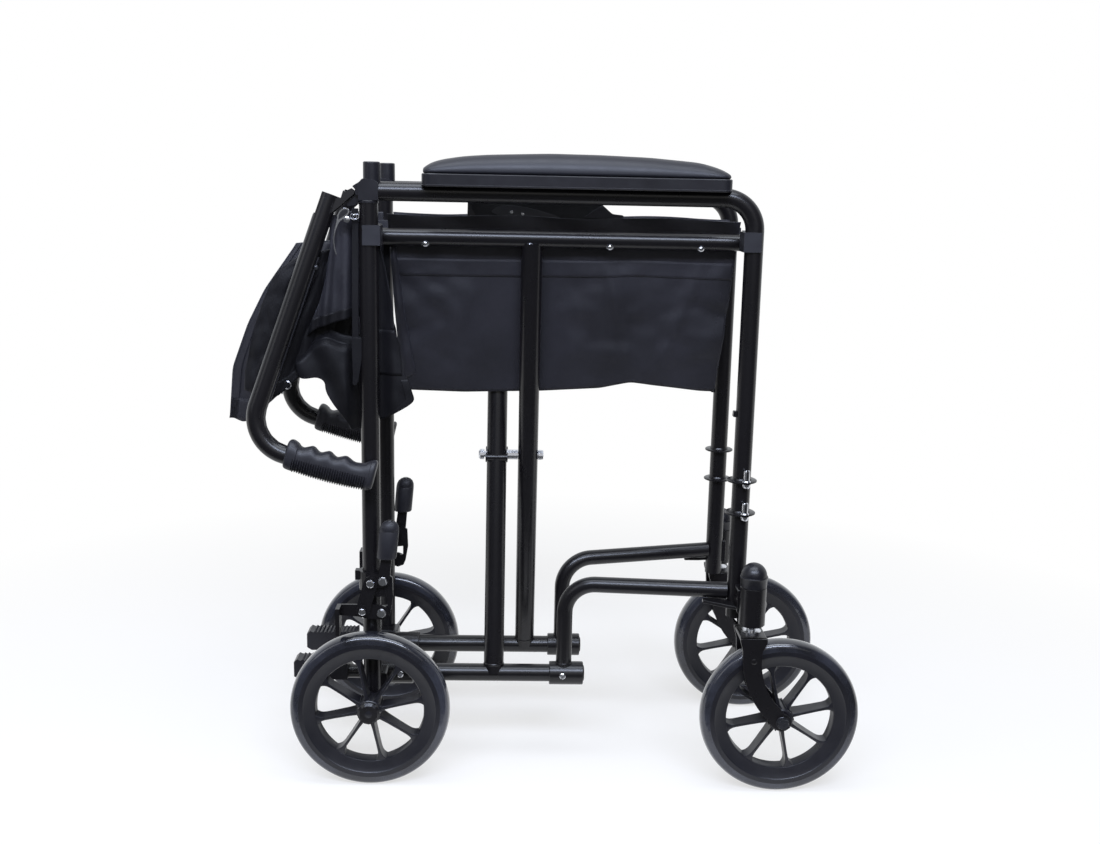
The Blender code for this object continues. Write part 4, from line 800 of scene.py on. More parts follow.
def arm_base():
    low, high = ARM_BASE_Z
    rows = ((low, 0.0016), (low + 0.0004, 0.0006), (low + 0.0012, 0.0), (low + 0.0022, 0.0),
            (low + 0.0026, 0.0005), (high - 0.0010, 0.0005), (high, 0.0014))
    both("arm_board", loft([board_ring(*row) for row in rows]), PLASTIC, "frame", ["arm_base"])


def arm_pad():
    rings = []
    low, high = ARM_BASE
    floor = ARM_BASE_Z[1] - 0.0006
    for i in range(PAD_STEPS + 1):
        x = low + 0.0010 + (high - low - 0.0020) * (i / PAD_STEPS)
        end = min(x - low, high - x)
        half = ARM_BASE_HALF - 0.0006 - 0.0090 * math.exp(-end / 0.0050)
        rise = smooth_line(PAD_CROWN, x, 0.008) * (1 - 0.45 * math.exp(-end / 0.0025))
        arch = [(-half * math.cos(a), 0.0022 + (rise - 0.0016) * math.sin(a) ** 0.86)
                for a in (math.pi * j / 24 for j in range(1, 24))]
        rings.append([at(x, POST_Y + across, floor + up) for across, up in
                      [(-half * 0.975, 0), (-half, 0.0022)] + arch + [(half, 0.0022), (half * 0.975, 0)]])
    for pad in both("arm_cushion", loft(rings), VINYL, "frame", ["arm_pad"]):
        surface = pad.modifiers.new("surface", "SUBSURF")
        surface.levels = 1
        surface.render_levels = 1


# Push handle folded down: its end, its direction and the direction in front of it
RAISED_ANGLE = 161.0
HINGE_TILT = -2.6
CANE_END = Vector((-0.044, POST_TOP + 0.006))
CANE_FOOT = POST_TOP + 0.0193
CANE_LENGTH = 0.3103
GRIP_DROP = math.radians(5.1)
GRIP_ENDS = (0.050, 0.157)
GRIP_STEPS = 400
RIBS = (0.060, 0.149)
RIB_PITCH = 0.0029
# Heights of the grip over its axis and under it, by the place along it
GRIP_WAVES = ((0.050, 0.0196), (0.053, 0.0198), (0.058, 0.0192), (0.067, 0.0130), (0.079, 0.0190),
              (0.088, 0.0124), (0.099, 0.0180), (0.108, 0.0118), (0.119, 0.0171), (0.130, 0.0116),
              (0.141, 0.0130), (0.149, 0.0186), (0.157, 0.0210))
GRIP_UNDER = ((0.050, 0.0150), (0.055, 0.0156), (0.080, 0.0178), (0.105, 0.0188), (0.130, 0.0184),
              (0.151, 0.0166), (0.157, 0.0150))


def hinge_point():
    raised_end = Vector((SPIGOT_AXIS, CANE_FOOT))
    span = raised_end - CANE_END
    across = Vector((span.y, -span.x)).normalized()
    away = (span.length / 2) / math.tan(math.radians(RAISED_ANGLE / 2))
    centre = (CANE_END + raised_end) / 2 + across * away
    return at(centre.x, POST_Y, centre.y)


HINGE = hinge_point()
HINGE_AXIS = Vector((0, math.cos(math.radians(HINGE_TILT)), math.sin(math.radians(HINGE_TILT))))
FOLD = Matrix.Rotation(math.radians(-RAISED_ANGLE), 3, HINGE_AXIS)


def folded(point):
    """Place on the folded handle of a point drawn on the raised one."""
    return HINGE + FOLD @ (point - HINGE)


CANE_START = folded(at(SPIGOT_AXIS, POST_Y, CANE_FOOT))
CANE_CORNER = folded(at(SPIGOT_AXIS, POST_Y, CANE_FOOT + CANE_LENGTH))
CANE_RUN = FOLD @ UP
CANE_AHEAD = Vector((-CANE_RUN.z, 0, CANE_RUN.x)).normalized()
CANE_SIDE = CANE_RUN.cross(CANE_AHEAD)
GRIP_RUN = FOLD @ Vector((-math.cos(GRIP_DROP), 0, -math.sin(GRIP_DROP)))


def hand_grip():
    """Rubber grip: finger waves on one side, fine ribs on the other and a collar at its mouth."""
    side = FOLD @ Vector((0, 1, 0))
    up = GRIP_RUN.cross(side)
    low, high = GRIP_ENDS
    rings = []
    for i in range(GRIP_STEPS + 1):
        s = low + (high - low) * i / GRIP_STEPS
        close = 1 - 0.16 * math.exp(-min(s - low, high - s) / 0.0012)
        top = smooth_line(GRIP_WAVES, s, 0.0026) * close
        under = smooth_line(GRIP_UNDER, s, 0.0030) * close
        rib = 0.0
        if RIBS[0] < s < RIBS[1]:
            rib = 0.0012 * math.cos(2 * math.pi * (s - low) / RIB_PITCH) - 0.0004
        collar = 0.0009 * (eased((0.0635 - s) / 0.001) + eased((s - 0.1500) / 0.001))
        ring = []
        for k in range(36):
            angle = 2 * math.pi * k / 36
            c, n = math.cos(angle), math.sin(angle)
            ribbed = rib * eased((-n - 0.02) / 0.10)
            wide = 0.0150 * close + collar * 0.6 + ribbed
            height = (top if n > 0 else under) + collar * 0.5 + ribbed
            c, n = (math.copysign(abs(value) ** 0.70, value) for value in (c, n))
            ring.append(CANE_CORNER + GRIP_RUN * s + side * (c * wide) + up * (n * height))
        rings.append(ring)
    both("grip_moulding", loft(rings), RUBBER, "cane", ["hand_grip"])


# Cloth. A cloth point is made from its share down, its share across and its lift over the cloth
STITCH_PITCH, STITCH_LENGTH, STITCH_RADIUS = 0.0036, 0.62 * 0.0036, 0.00042


def stitches(line):
    """Short raised threads along a line of points."""
    spans = [0.0]
    for a, b in zip(line, line[1:]):
        spans.append(spans[-1] + (b - a).length)
    places = list(zip(spans, line))
    shapes = []
    distance = 0.3 * STITCH_PITCH
    while distance + STITCH_LENGTH < spans[-1]:
        start, stop = on_line(places, distance), on_line(places, distance + STITCH_LENGTH)
        middle = (start + stop) / 2 + OUT * STITCH_RADIUS * 0.8
        side = (stop - start).normalized().cross(OUT).normalized()
        shapes.append(loft([[place + way * STITCH_RADIUS * size for way in (side, OUT, -side)]
                            for place, size in ((start, 0.45), (middle, 1.0), (stop, 0.45))]))
        distance += STITCH_PITCH
    return merged(*shapes)


def seam(point, start, end, lift, steps):
    """Stitches between two places (down, across) of a cloth."""
    return stitches([point(*(a + (b - a) * i / steps for a, b in zip(start, end)), lift)
                     for i in range(steps + 1)])


def patch(point, downs, shares, lift=0.0, columns=40, rows=6):
    """Grid of points over a part of a cloth."""
    return [[point(downs[0] + (downs[1] - downs[0]) * i / rows,
                   shares[0] + (shares[1] - shares[0]) * j / columns, lift)
             for j in range(columns + 1)] for i in range(rows + 1)]


def grid_size(grid, pick=lambda values: sum(values) / len(values)):
    """Width and height of a sheet, picked from the lengths of its rows and columns."""
    return tuple(pick([sum((a - b).length for a, b in zip(line, line[1:])) for line in lines])
                 for lines in (grid, list(zip(*grid))))


def raised(points, lift):
    return [p + OUT * lift for p in points]


def wrinkle(u, v, seed):
    """Soft random height of the cloth, about -1 to 1."""
    place = Vector((u, v, seed))
    return noise.noise(place) * 1.3 + 0.5 * noise.noise(place * 2.3)


def bell(value, width):
    return math.exp(-(value / width) ** 2)


# Seat halves, from the rail down to the crease between them
SLING = (0.030, 0.427)
SLING_TOP = (0.019, 0.441)
SEAT_FOOT = ((0.020, 0.4800), (0.043, 0.4791), (0.110, 0.4776), (0.206, 0.4804), (0.281, 0.4854),
             (0.319, 0.4937), (0.357, 0.4892), (0.408, 0.4835), (0.430, 0.4830))
SLING_TOP_Z = SEAT_RAIL_Z + 0.0258
SEAT_LEAN = math.atan2(2 * -RAIL_Y, SEAT_RAIL_Z - BOTTOM_RAIL_Z)
SEAT_COLUMNS, SEAT_ROWS = 132, 44
# Slanting pulls near the rear rail end (slope, height, width, size) and upright creases (place, slope)
SEAT_PULLS = ((-0.55, 0.620, 0.011, 0.0024), (-0.85, 0.588, 0.013, 0.0022), (0.60, 0.560, 0.014, 0.0020))
SEAT_CREASES = ((0.300, -0.25), (0.375, 0.35))


def seat_point(down, share, out=0.0):
    """Outer face of a seat half, from 0 at the rail to 1 at the crease."""
    x = SLING_TOP[0] + (SLING_TOP[1] - SLING_TOP[0]) * share
    x += (SLING[0] - SLING_TOP[0] + (SLING[1] - SLING[0] - SLING_TOP[1] + SLING_TOP[0]) * share) * down
    z = SEAT_RAIL_Z - (SEAT_RAIL_Z - smooth_line(SEAT_FOOT, x, 0.005)) * down
    free = eased((min(abs(x - BRACE_A), abs(x - BRACE_B)) - BRACE - 0.004) / 0.045)
    slack = math.sin(math.pi * min(down, 1.0)) ** 0.8 * free
    belly = 0.0050 * (0.75 + 0.25 * math.cos(x / 0.022))
    belly += 0.0046 * wrinkle(x * 14 + z * 9, z * 22 - x * 6, 4.0)
    for slope, height, width, size in SEAT_PULLS:
        belly += size * bell(z - (height + slope * (x - 0.09)), width) * eased((0.19 - x) / 0.06)
    for middle, slope in SEAT_CREASES:
        belly += 0.0036 * bell(x - (middle + slope * (z - 0.58)), 0.009)
    off = 0.0132 / math.cos(SEAT_LEAN) + (SEAT_RAIL_Z - z) * math.tan(SEAT_LEAN)
    return at(x, RAIL_Y + off - belly * slack - out, z)


def seat():
    lower = patch(seat_point, (0, 1), (0, 1), 0.0, SEAT_COLUMNS, SEAT_ROWS)
    upper = []
    for rise in (1.0, 0.985, 0.95, 0.8, 0.6, 0.4, 0.2):
        lift = (SLING_TOP_Z - SEAT_RAIL_Z) * rise
        upper.append([Vector((p.x + (0.0030 * rise * (p.x - POST_X - 0.22) / 0.22),
                              p.y - 0.001 * rise + 0.0012 * math.sin(p.x * 60 + 3 * rise) * rise,
                              SEAT_RAIL_Z + lift - 0.0014 * math.sin(p.x * 35) * rise)) for p in lower[0]])
    panels = both("seat_cloth", sheet(upper + lower), NYLON, "seat", ["seat_panel"], thick=(0.0014,))
    side_hem = []
    for i in range(61):
        down = 0.07 + 0.855 * i / 60
        wide = 0.016 + 0.022 * eased(down) + 0.012 * eased((down - 0.5) / 0.5)
        close = math.sqrt(max(0.0, 1 - eased((down - 0.88) / 0.045)))
        side_hem.append([seat_point(down, 0.001 + wide * close * share,
                                    0.0004 + 0.0040 * math.sin(math.pi * (0.08 + 0.92 * share)))
                         for share in (j / 10 for j in range(11))])
    hem = patch(seat_point, (0.135, 0.245), (0.002, 0.998), 0.0009, 110)
    edge = patch(seat_point, (0.10, 0.995), (0.970, 0.998), 0.0006, 6, 40)
    for name, rows, thick in (("seat_hem", hem, 0.0010), ("seat_edge_10", edge, 0.0008),
                              ("seat_side_hem", side_hem, 0.0010)):
        both(name, sheet(rows), NYLON, "seat", thick=(thick,))
    rows = [seam(seat_point, (down, 0.004), (down, 0.996), 0.0010, 110) for down in (0.238, 0.150)]
    rows += [seam(seat_point, (0.10, share), (0.99, share), 0.0008, 40) for share in (0.012, 0.974)]
    both("seat_stitches", merged(*rows), THREAD, "seat")


# Back upholstery: between the folded handles it lies in two folds on each side. Its lines hold places along
# the cane and depths in front of it
BACK_CANE = ((0.0732, 0.0000), (0.2547, 0.0000))
BACK_FOLD = ((0.0400, 0.0520), (0.1585, 0.0780))
BACK_RIDGE = ((0.0768, -0.0319), (0.1441, -0.0514), (0.1919, -0.0581), (0.2506, -0.0594), (0.3131, -0.0433))
BACK_OUTER_SAG = ((0.0, 0.0), (0.22, 0.0130), (0.45, 0.0), (1.0, 0.0))
BACK_INNER_SAG = ((0.0, 0.0), (0.40, 0.0), (0.80, 0.0300), (1.0, 0.0))
BACK_THICK = 0.0020
BACK_FOLD_Y = -0.046
BACK_MID_Y = -0.00215
BACK_ROWS, BACK_STEPS = 48, 60
BACK_EDGE = ((0.0800, -0.0100), (0.1008, -0.0267), (0.1128, -0.0337), (0.1517, -0.0368), (0.1929, -0.0363),
             (0.2329, -0.0315), (0.2564, -0.0248))


def back_point(place, depth, y=None):
    flat = CANE_START + CANE_RUN * place
    point = flat + CANE_AHEAD * depth
    return Vector((point.x, flat.y + TUBE + 0.0004 if y is None else y, point.z))


def back_panel(first, first_y, last, last_y, sag, ripples, seed):
    """Rows of points from one line to the other, rippled where free, that hang lower by the sag."""
    grid = []
    for i in range(BACK_ROWS + 1):
        along = i / BACK_ROWS
        start, stop = (back_point(place, smooth_line(line, place, 0.006), y) for place, line, y in
                       ((line[0][0] + (line[-1][0] - line[0][0]) * along, line, y)
                        for line, y in ((first, first_y), (last, last_y))))
        row = []
        for j in range(BACK_STEPS + 1):
            share = j / BACK_STEPS
            free = math.sin(math.pi * share)
            slack = 0.0035 * free * math.sin(math.pi * min(along + 0.15, 1.0))
            wave = math.sin(2 * math.pi * ripples * share + 4 * along)
            fine = 0.0042 * free ** 0.7 * wrinkle(share * 7 + along, along * 3, seed)
            hang = CANE_RUN * smooth_line(sag, share, 0.06) * along ** 3
            row.append(start + (stop - start) * share + Vector((0, slack * wave + fine, 0)) + hang)
        grid.append(row)
    return grid


def edge_point(along, share, out=0.0):
    """Doubled edge of the cloth beside the cane, in front of the inner fold."""
    place = BACK_EDGE[0][0] + (BACK_EDGE[-1][0] - BACK_EDGE[0][0]) * along
    depth = smooth_line(BACK_EDGE, place, 0.006) * (1 - share)
    swell = 0.0040 * math.sin(math.pi * share) + 0.0018 * wrinkle(share * 3, along * 7, 13.0)
    return back_point(place, depth, -0.0730 - swell - out)


def back():
    fold_y = BACK_FOLD_Y - BACK_THICK - 0.0003
    outer = back_panel(BACK_CANE, None, BACK_FOLD, fold_y, BACK_OUTER_SAG, 2, 7.0)
    inner = back_panel(BACK_FOLD, BACK_FOLD_Y, BACK_RIDGE, BACK_MID_Y, BACK_INNER_SAG, 3, 11.0)
    # The outer fold and its hems are in the painted-shade nylon, the inner fold in the plain nylon
    for body, grid, cloth in (("back_outer", outer, PAINTED_SHADE_NYLON), ("back_inner", inner, NYLON)):
        for panel in both(body + "_cloth", sheet(grid), cloth, body, [body], thick=(0.0017,)):
            grid_size(grid)
        hems = merged(sheet([raised(row[-6:], 0.0008) for row in grid]),
                      sheet([raised(row, 0.0008) for row in grid[-6:]]))
        both(body + "_cloth_hem", hems, cloth, body, thick=(0.0011,))
        columns = list(zip(*grid))
        threads = [stitches(raised(lines[k], 0.0009)) for lines in (columns, grid) for k in (-6, -2)]
        both(body + "_cloth_stitches", merged(*threads), THREAD, body)


def back_edge():
    grid = patch(edge_point, (0, 1), (0, 1), 0.0, 20, 50)
    # The edge strip is in the painted-shade nylon
    for panel in both("back_edge_cloth", sheet(grid), PAINTED_SHADE_NYLON, "back_outer", thick=(0.0020,)):
        grid_size(grid)
    runs = [seam(edge_point, (0.06, share), (0.98, share), 0.0016, 50) for share in (0.10, 0.34)]
    both("back_edge_stitches", merged(*runs), THREAD, "back_outer")


# Lower flap of the back upholstery beside the post: a pleated drape, a bag below it and a wing in front.
# The left and right lines hold (height, place across), the others (place across, height)
DRAPE_TOP = 0.698
DRAPE_LEFT = ((0.548, -0.0860), (0.570, -0.0740), (0.600, -0.0585), (0.620, -0.0510), (0.664, -0.0440),
              (0.680, -0.0460), (0.698, -0.0440))
DRAPE_FOOT = ((-0.086, 0.5480), (-0.074, 0.5560), (-0.066, 0.5640), (-0.052, 0.5690), (-0.0234, 0.5786),
              (0.0, 0.5790))
# Pleats: place across, depth and width
DRAPE_PLEATS = ((-0.0640, 0.0040, 0.0040), (-0.0500, 0.0040, 0.0040), (-0.0270, 0.0060, 0.0085))
BAG_LOW, BAG_HIGH = 0.4420, 0.5640
BAG_TOP = ((-0.0876, 0.5387), (-0.0834, 0.5400), (-0.0742, 0.5480), (-0.0666, 0.5570), (-0.0532, 0.5640),
           (-0.0356, 0.5560), (-0.0238, 0.5540), (0.0, 0.5545))
BAG_LEFT = ((0.4420, -0.0251), (0.4607, -0.0324), (0.4758, -0.0456), (0.4909, -0.0544), (0.5031, -0.0542),
            (0.5090, -0.0630), (0.5192, -0.0836), (0.5400, -0.0880), (0.5640, -0.0880))
WING_LOW, WING_TOP = 0.4552, 0.664
WING_RIGHT = ((0.4552, 0.0110), (0.4600, 0.0231), (0.4740, 0.0460), (0.4804, 0.0532), (0.5047, 0.0457),
              (0.5106, 0.0390), (0.5468, 0.0355), (0.5646, 0.0296), (0.5973, 0.0268), (0.6441, 0.0169),
              (0.6644, 0.0112))
# Band, edge and corner hems of a wing (downs, shares, lift, columns, rows), and its seams
WING_HEMS = (((0.478, 0.735), (0.25, 0.96), 0.0014, 30, 16), ((0.02, 0.47), (0.86, 1.0), 0.0008, 6, 40),
             ((0.76, 0.97), (0.80, 1.0), 0.0009, 8, 20))
WING_SEAMS = (((0.485, 0.28), (0.73, 0.28), 0.0016, 30), ((0.485, 0.92), (0.73, 0.92), 0.0016, 30),
              ((0.492, 0.27), (0.492, 0.94), 0.0016, 30), ((0.722, 0.27), (0.722, 0.94), 0.0016, 30),
              ((0.02, 0.88), (0.47, 0.88), 0.0010, 40), ((0.76, 0.82), (0.97, 0.82), 0.0011, 20))
FLAP_LIFT = 0.0014
BEHIND_POST = POST_Y + TUBE + 0.0004


def beside(x):
    """0 behind the post and 1 well clear of it."""
    return eased((abs(x) - TUBE - 0.002) / 0.018)


def drape_point(down, share, out=0.0):
    left = smooth_line(DRAPE_LEFT, DRAPE_TOP - (DRAPE_TOP - 0.570) * down, 0.008)
    x = left - left * share
    foot = smooth_line(DRAPE_FOOT, x, 0.004)
    z = DRAPE_TOP + (foot - DRAPE_TOP) * down
    depth = 0.0080 + 0.0030 * wrinkle(x * 34, z * 16, 2.0)
    for place, size, width in DRAPE_PLEATS:
        depth += size * bell(x - (place + 0.10 * (z - 0.60)), width) * eased(down / 0.25)
    return at(x, BEHIND_POST + 0.0020 - depth * beside(x) - out, z)


def bag_point(down, share, out=0.0):
    left = smooth_line(BAG_LEFT, BAG_HIGH + (BAG_LOW - BAG_HIGH) * down, 0.006)
    x = left - left * share
    top = smooth_line(BAG_TOP, x, 0.004)
    z = top + (BAG_LOW - top) * down
    depth = 0.0200 + 0.0026 * math.sin(x * 150 + (z - 0.50) * 70) + 0.0018 * wrinkle(x * 34, z * 26, 5.0)
    depth = depth * eased((top - z) / 0.018) - 0.0060 * eased((0.462 - z) / 0.02)
    return at(x, BEHIND_POST + 0.0105 - depth * beside(x) - out, z)


def wing_point(down, share, out=0.0, pinch=0.0):
    z = WING_TOP + (WING_LOW - WING_TOP) * down
    x = max(smooth_line(WING_RIGHT, z, 0.003) - pinch, 0.008) * share
    depth = 0.0085 + 0.0016 * math.sin(x * 260 + 1.0) * eased((z - 0.56) / 0.03)
    depth += 0.0030 * wrinkle(x * 34, z * 24, 9.0)
    return at(x, BEHIND_POST - depth * beside(x) - out, z)


def far_wing_point(down, share, out=0.0):
    """The wing of the far side, which the photograph shows drawn in behind its post."""
    return wing_point(down, share, out, 0.020)


def pleat_seam(across):
    """Stitch line down the drape at a place across."""
    line = []
    for i in range(31):
        down = 0.42 + 0.56 * i / 30
        left = drape_point(down, 0.0).x - POST_X
        line.append(drape_point(down, 1 - across / left, 0.0004))
    return stitches(line)


def flap():
    # The bag, the wing and all the hems are in the painted-shade nylon, darker than the drape
    for name, point, far_point, nodes, cloth in (
            ("back_flap_cloth", drape_point, drape_point, ["back_flap"], NYLON),
            ("back_bag_cloth", bag_point, bag_point, (), PAINTED_SHADE_NYLON),
            ("back_wing_cloth", wing_point, far_wing_point, (), PAINTED_SHADE_NYLON)):
        grids = [patch(make, (0, 1), (0, 1), 0.0, 56, 64) for make in (point, far_point)]
        panels = both(name, sheet(grids[0]), cloth, "frame", nodes, sheet(grids[1]), thick=(0.0015,))
        for panel, cut in zip(panels, grids):
            grid_size(cut, max)
    folds = [sheet(patch(drape_point, (0.90, 1.0), (0.0, 1.0), FLAP_LIFT, 56)),
             sheet(patch(bag_point, (0.0, 0.09), (0.0, 1.0), FLAP_LIFT, 56))]
    runs = [seam(point, (down, 0), (down, 1), FLAP_LIFT + 0.0002, 60) for point, down in
            ((drape_point, 0.915), (drape_point, 0.985), (bag_point, 0.035), (bag_point, 0.080))]
    runs += [pleat_seam(-0.0530), pleat_seam(-0.0506)]
    points = (wing_point, far_wing_point)
    hems = [merged(*folds, *[sheet(patch(point, *row)) for row in WING_HEMS]) for point in points]
    threads = [merged(*runs, *[seam(point, *row) for row in WING_SEAMS]) for point in points]
    both("back_flap_hems", hems[0], PAINTED_SHADE_NYLON, "frame", twin=hems[1], thick=(0.0012,))
    both("back_flap_stitches", threads[0], THREAD, "frame", twin=threads[1])


def tie_strap():
    """Webbing strap that hangs beside the post, with its plastic end."""
    top, foot = 0.7065, 0.5530
    rings = []
    for t in (i / 30 for i in range(31)):
        y = POST_Y - 0.0045 + 0.0008 * math.sin(7 * t)
        middle = at(-0.0150 - 0.0012 * t, y, top + (foot - top) * t)
        rings.append([middle + Vector((a * 0.0038, b * 0.0010, 0))
                      for a, b in ((-1, -1), (1, -1), (1, 1), (-1, 1))])
    # Strap and its end are drawn in the painted-shade nylon
    both("tie_strap", loft(rings), PAINTED_SHADE_NYLON, "frame", edge=(0.0006, 2))
    tail = rounded([(-0.0206, 0.5560), (-0.0070, 0.5560), (-0.0060, 0.5480), (-0.0128, 0.5060),
                    (-0.0150, 0.4990), (-0.0200, 0.4990), (-0.0196, 0.5120)], 0.0030)
    both("tie_strap_end", prism(tail, POST_Y - 0.0066, POST_Y - 0.0040), PAINTED_SHADE_NYLON, "frame",
         slot="black_plastic", edge=(0.0006, 2))


def end_ring():
    """Small wire ring at the lower end of the edge cloth."""
    x, y, z = -0.0988, -0.0862, 0.4970
    ring = [at(x + 0.0044 * math.cos(a), y, z + 0.0044 * math.sin(a))
            for a in (math.pi * k / 12 for k in range(25))]
    tail = [at(x - 0.0036, y, z - 0.0036), at(x - 0.0062, y + 0.0004, z - 0.0110)]
    both("edge_ring", merged(tube(ring, 0.0008, 8), tube(tail, 0.0008, 8)), ZINC, "back_outer")


# Seat belt over the seat, with heights over its lower edge
BELT_LOW = SEAT_RAIL_Z + 0.0008
BELT_Y = (POST_Y + 0.0522, POST_Y + 0.0552)
BELT_ENDS = (0.118, 0.3015)
BELT_CATCH = ((0.1120, 0.004), (0.1258, 0.004), (0.1250, 0.0440), (0.1130, 0.0440))
BELT_TOP = ((0.118, 0.0440), (0.272, 0.0440), (0.289, 0.0290), (0.302, 0.0285), (0.330, 0.0010))
BELT_FOLD = ((0.2530, 0.0250), (0.2680, 0.0360), (0.2760, 0.0400), (0.2880, 0.0300), (0.3015, 0.0288),
             (0.3010, 0.0240))
BELT_TONGUE = ((0.1400, 0.0300), (0.1480, 0.0362), (0.1590, 0.0380), (0.1760, 0.0372), (0.1960, 0.0335),
               (0.2140, 0.0285), (0.2270, 0.0245), (0.2050, 0.0235), (0.1800, 0.0215), (0.1620, 0.0225),
               (0.1500, 0.0260))
BELT_EYES = ((0.1660, 0.0300), (0.1795, 0.0280))


def belt_part(name, outline, corner, low, high, material, edge, nodes=()):
    shape = prism(rounded(shifted(outline, z=BELT_LOW), corner), low, high)
    piece("right_belt_" + name, shape, material, "right_seat", nodes, edge=edge)


def belt():
    near, far = BELT_Y
    belt_part("catch", BELT_CATCH, 0.0024, near - 0.0010, far + 0.0030, PLASTIC, (0.0014, 3), ["seat_belt"])
    strap = []
    for rise in (j / 12 for j in range(13)):
        row = []
        for i in range(81):
            x = BELT_ENDS[0] + (BELT_ENDS[1] - BELT_ENDS[0]) * i / 80
            sway = 0.0010 * math.sin(x * 70 + 2.2 * rise) + 0.0006 * wrinkle(x * 40, 2 * rise, 3.0)
            row.append(at(x, near + 0.0010 + sway, BELT_LOW + smooth_line(BELT_TOP, x, 0.002) * rise))
        strap.append(row)
    piece("right_belt_strap", sheet(strap), WEBBING, "right_seat", thick=(0.0018, 1.0))
    belt_part("fold", BELT_FOLD, 0.003, near - 0.0022, near - 0.0004, NYLON, (0.0008, 2))
    belt_part("tongue", BELT_TONGUE, 0.004, near - 0.0020, near - 0.0002, GUIDE_NYLON, (0.0007, 2))
    for x, rise in BELT_EYES:
        eye = turned(at(x, near - 0.0018, BELT_LOW + rise), OUT,
                     ((0, 0.0022), (0.0008, 0.0021), (0.0012, 0.0014)), 20)
        piece("right_belt_eye_%d" % round(x * 1000), eye, ZINC, "right_seat")


# Small metal parts, placed as (x, z)
SCREWS = (0.0639, 0.1885, 0.2845, 0.3940)
LEVER_BOLT = (0.0158, TYRE_TOP + 0.0637)
LINK_BOLT = (0.0014, TYRE_TOP + 0.0618)
ARM_PIN = (-0.0088, TYRE_TOP + 0.0259)
SHOE_BOLT = (0.0141, TYRE_TOP + 0.0230)
BRAKE_FACE, LINK_FACE = -0.1102, -0.1133
GRIP_FOOT = TYRE_TOP + 0.0918
GRIP_MIDDLE = (-0.1140 - 0.0985) / 2


def hex_head(centre, axis, across, thick):
    radius = across / 2 / math.cos(math.pi / 6)
    head = turned(centre, axis, ((0, radius), (thick * 0.82, radius), (thick, radius * 0.93)), 6)
    washer = ((0, across * 0.62), (0.0008, across * 0.62), (0.0010, across * 0.60))
    return merged(head, turned(centre - axis * 0.0002, axis, washer, 32))


def split_head(centre, axis, along, across, radius, gap, rows, steps):
    """Two halves of a round head on either side of its slot."""
    shapes = []
    for sign in (-1, 1):
        rings = []
        for rise, size in rows:
            ring = [centre + axis * rise + along * (radius * size * math.cos(a))
                    + across * (sign * max(radius * size * math.sin(a), gap))
                    for a in (math.pi * k / steps for k in range(steps + 1))]
            rings.append(ring if sign > 0 else ring[::-1])
        shapes.append(loft(rings))
    return shapes


def slot_head(place, face, radius, thick, turn):
    """Pan head with a slot, as two crowned halves on a low round foot."""
    centre = at(place[0], face, place[1])
    side = OUT.orthogonal().normalized()
    up = OUT.cross(side)
    along = side * math.cos(turn) + up * math.sin(turn)
    foot = turned(centre, OUT, ((0, radius), (thick * 0.45, radius), (thick * 0.5, radius * 0.97)), 32)
    rows = ((thick * 0.45, 1.0), (thick * 0.8, 0.92), (thick, 0.70))
    return merged(foot, *split_head(centre, OUT, along, OUT.cross(along), radius, radius * 0.13, rows, 16))


def rail_screws():
    """Pan heads that hold the seat hem under each seat rail, which moves with the other side's brace."""
    axis = Vector((0, -0.86, -0.51))
    heads = []
    for x in SCREWS:
        heads.append(dome(at(x, RAIL_Y - 0.0078, SEAT_RAIL_Z - 0.0082), axis, 0.0040, 0.0030))
        foot = at(x, RAIL_Y - 0.0060, SEAT_RAIL_Z - 0.0070)
        heads.append(turned(foot, axis, ((0, 0.0044), (0.0021, 0.0044))))
    shape = merged(*heads)
    piece("right_rail_screws", shape, ZINC, "cross_b")
    piece("left_rail_screws", flipped(shape), ZINC, "cross_a")


def hanger_pins():
    """A slotted spring pin above each plate and a rounded cup below it."""
    cup = ((-0.0072, 0.0012), (-0.0068, 0.0028), (-0.0056, 0.0041), (-0.0038, 0.0049), (-0.0013, 0.0051))
    shapes = []
    for z in HANGER_Z:
        centre = at(*HANGER_PIN, z)
        shapes.append(turned(centre, UP, cup, 32))
        shapes.append(turned(centre, UP, ((0.0013, 0.0052), (0.0024, 0.0050), (0.0032, 0.0042)), 32))
        shapes += split_head(centre, UP, OUT, AHEAD, 0.0038, 0.0007,
                             ((0.0030, 1.0), (0.0140, 1.0), (0.0155, 0.86), (0.0162, 0.6)), 12)
    both("hanger_pins", merged(*shapes), ZINC, "frame")


def brake_bolts():
    heads = [hex_head(at(x, BRAKE_FACE, z), OUT, 0.0090, 0.0030) for x, z in (LEVER_BOLT, SHOE_BOLT)]
    both("brake_frame_bolts", merged(*heads), ZINC, "frame", angle=25.0)
    both("brake_lever_pin", slot_head(LINK_BOLT, LINK_FACE, 0.0050, 0.0030, 0.6), ZINC, "brake_lever")
    both("brake_shoe_pin", slot_head(ARM_PIN, LINK_FACE, 0.0046, 0.0030, 0.2), ZINC, "brake_shoe")


def axle_caps():
    cap = dome(at(0, REAR_WHEEL_Y - 0.0146, WHEEL_RADIUS), OUT, 0.0138, 0.0070)
    both("rear_axle_dome", cap, PLASTIC, "rear_wheel")
    nuts = [hex_head(at(FRONT_AXLE, FRONT_WHEEL_Y, WHEEL_RADIUS) + axis * 0.0250, axis, 0.0130, 0.0055)
            for axis in (OUT, -OUT)]
    both("fork_nuts", merged(*nuts), BLACK_ZINC, "fork", angle=25.0)


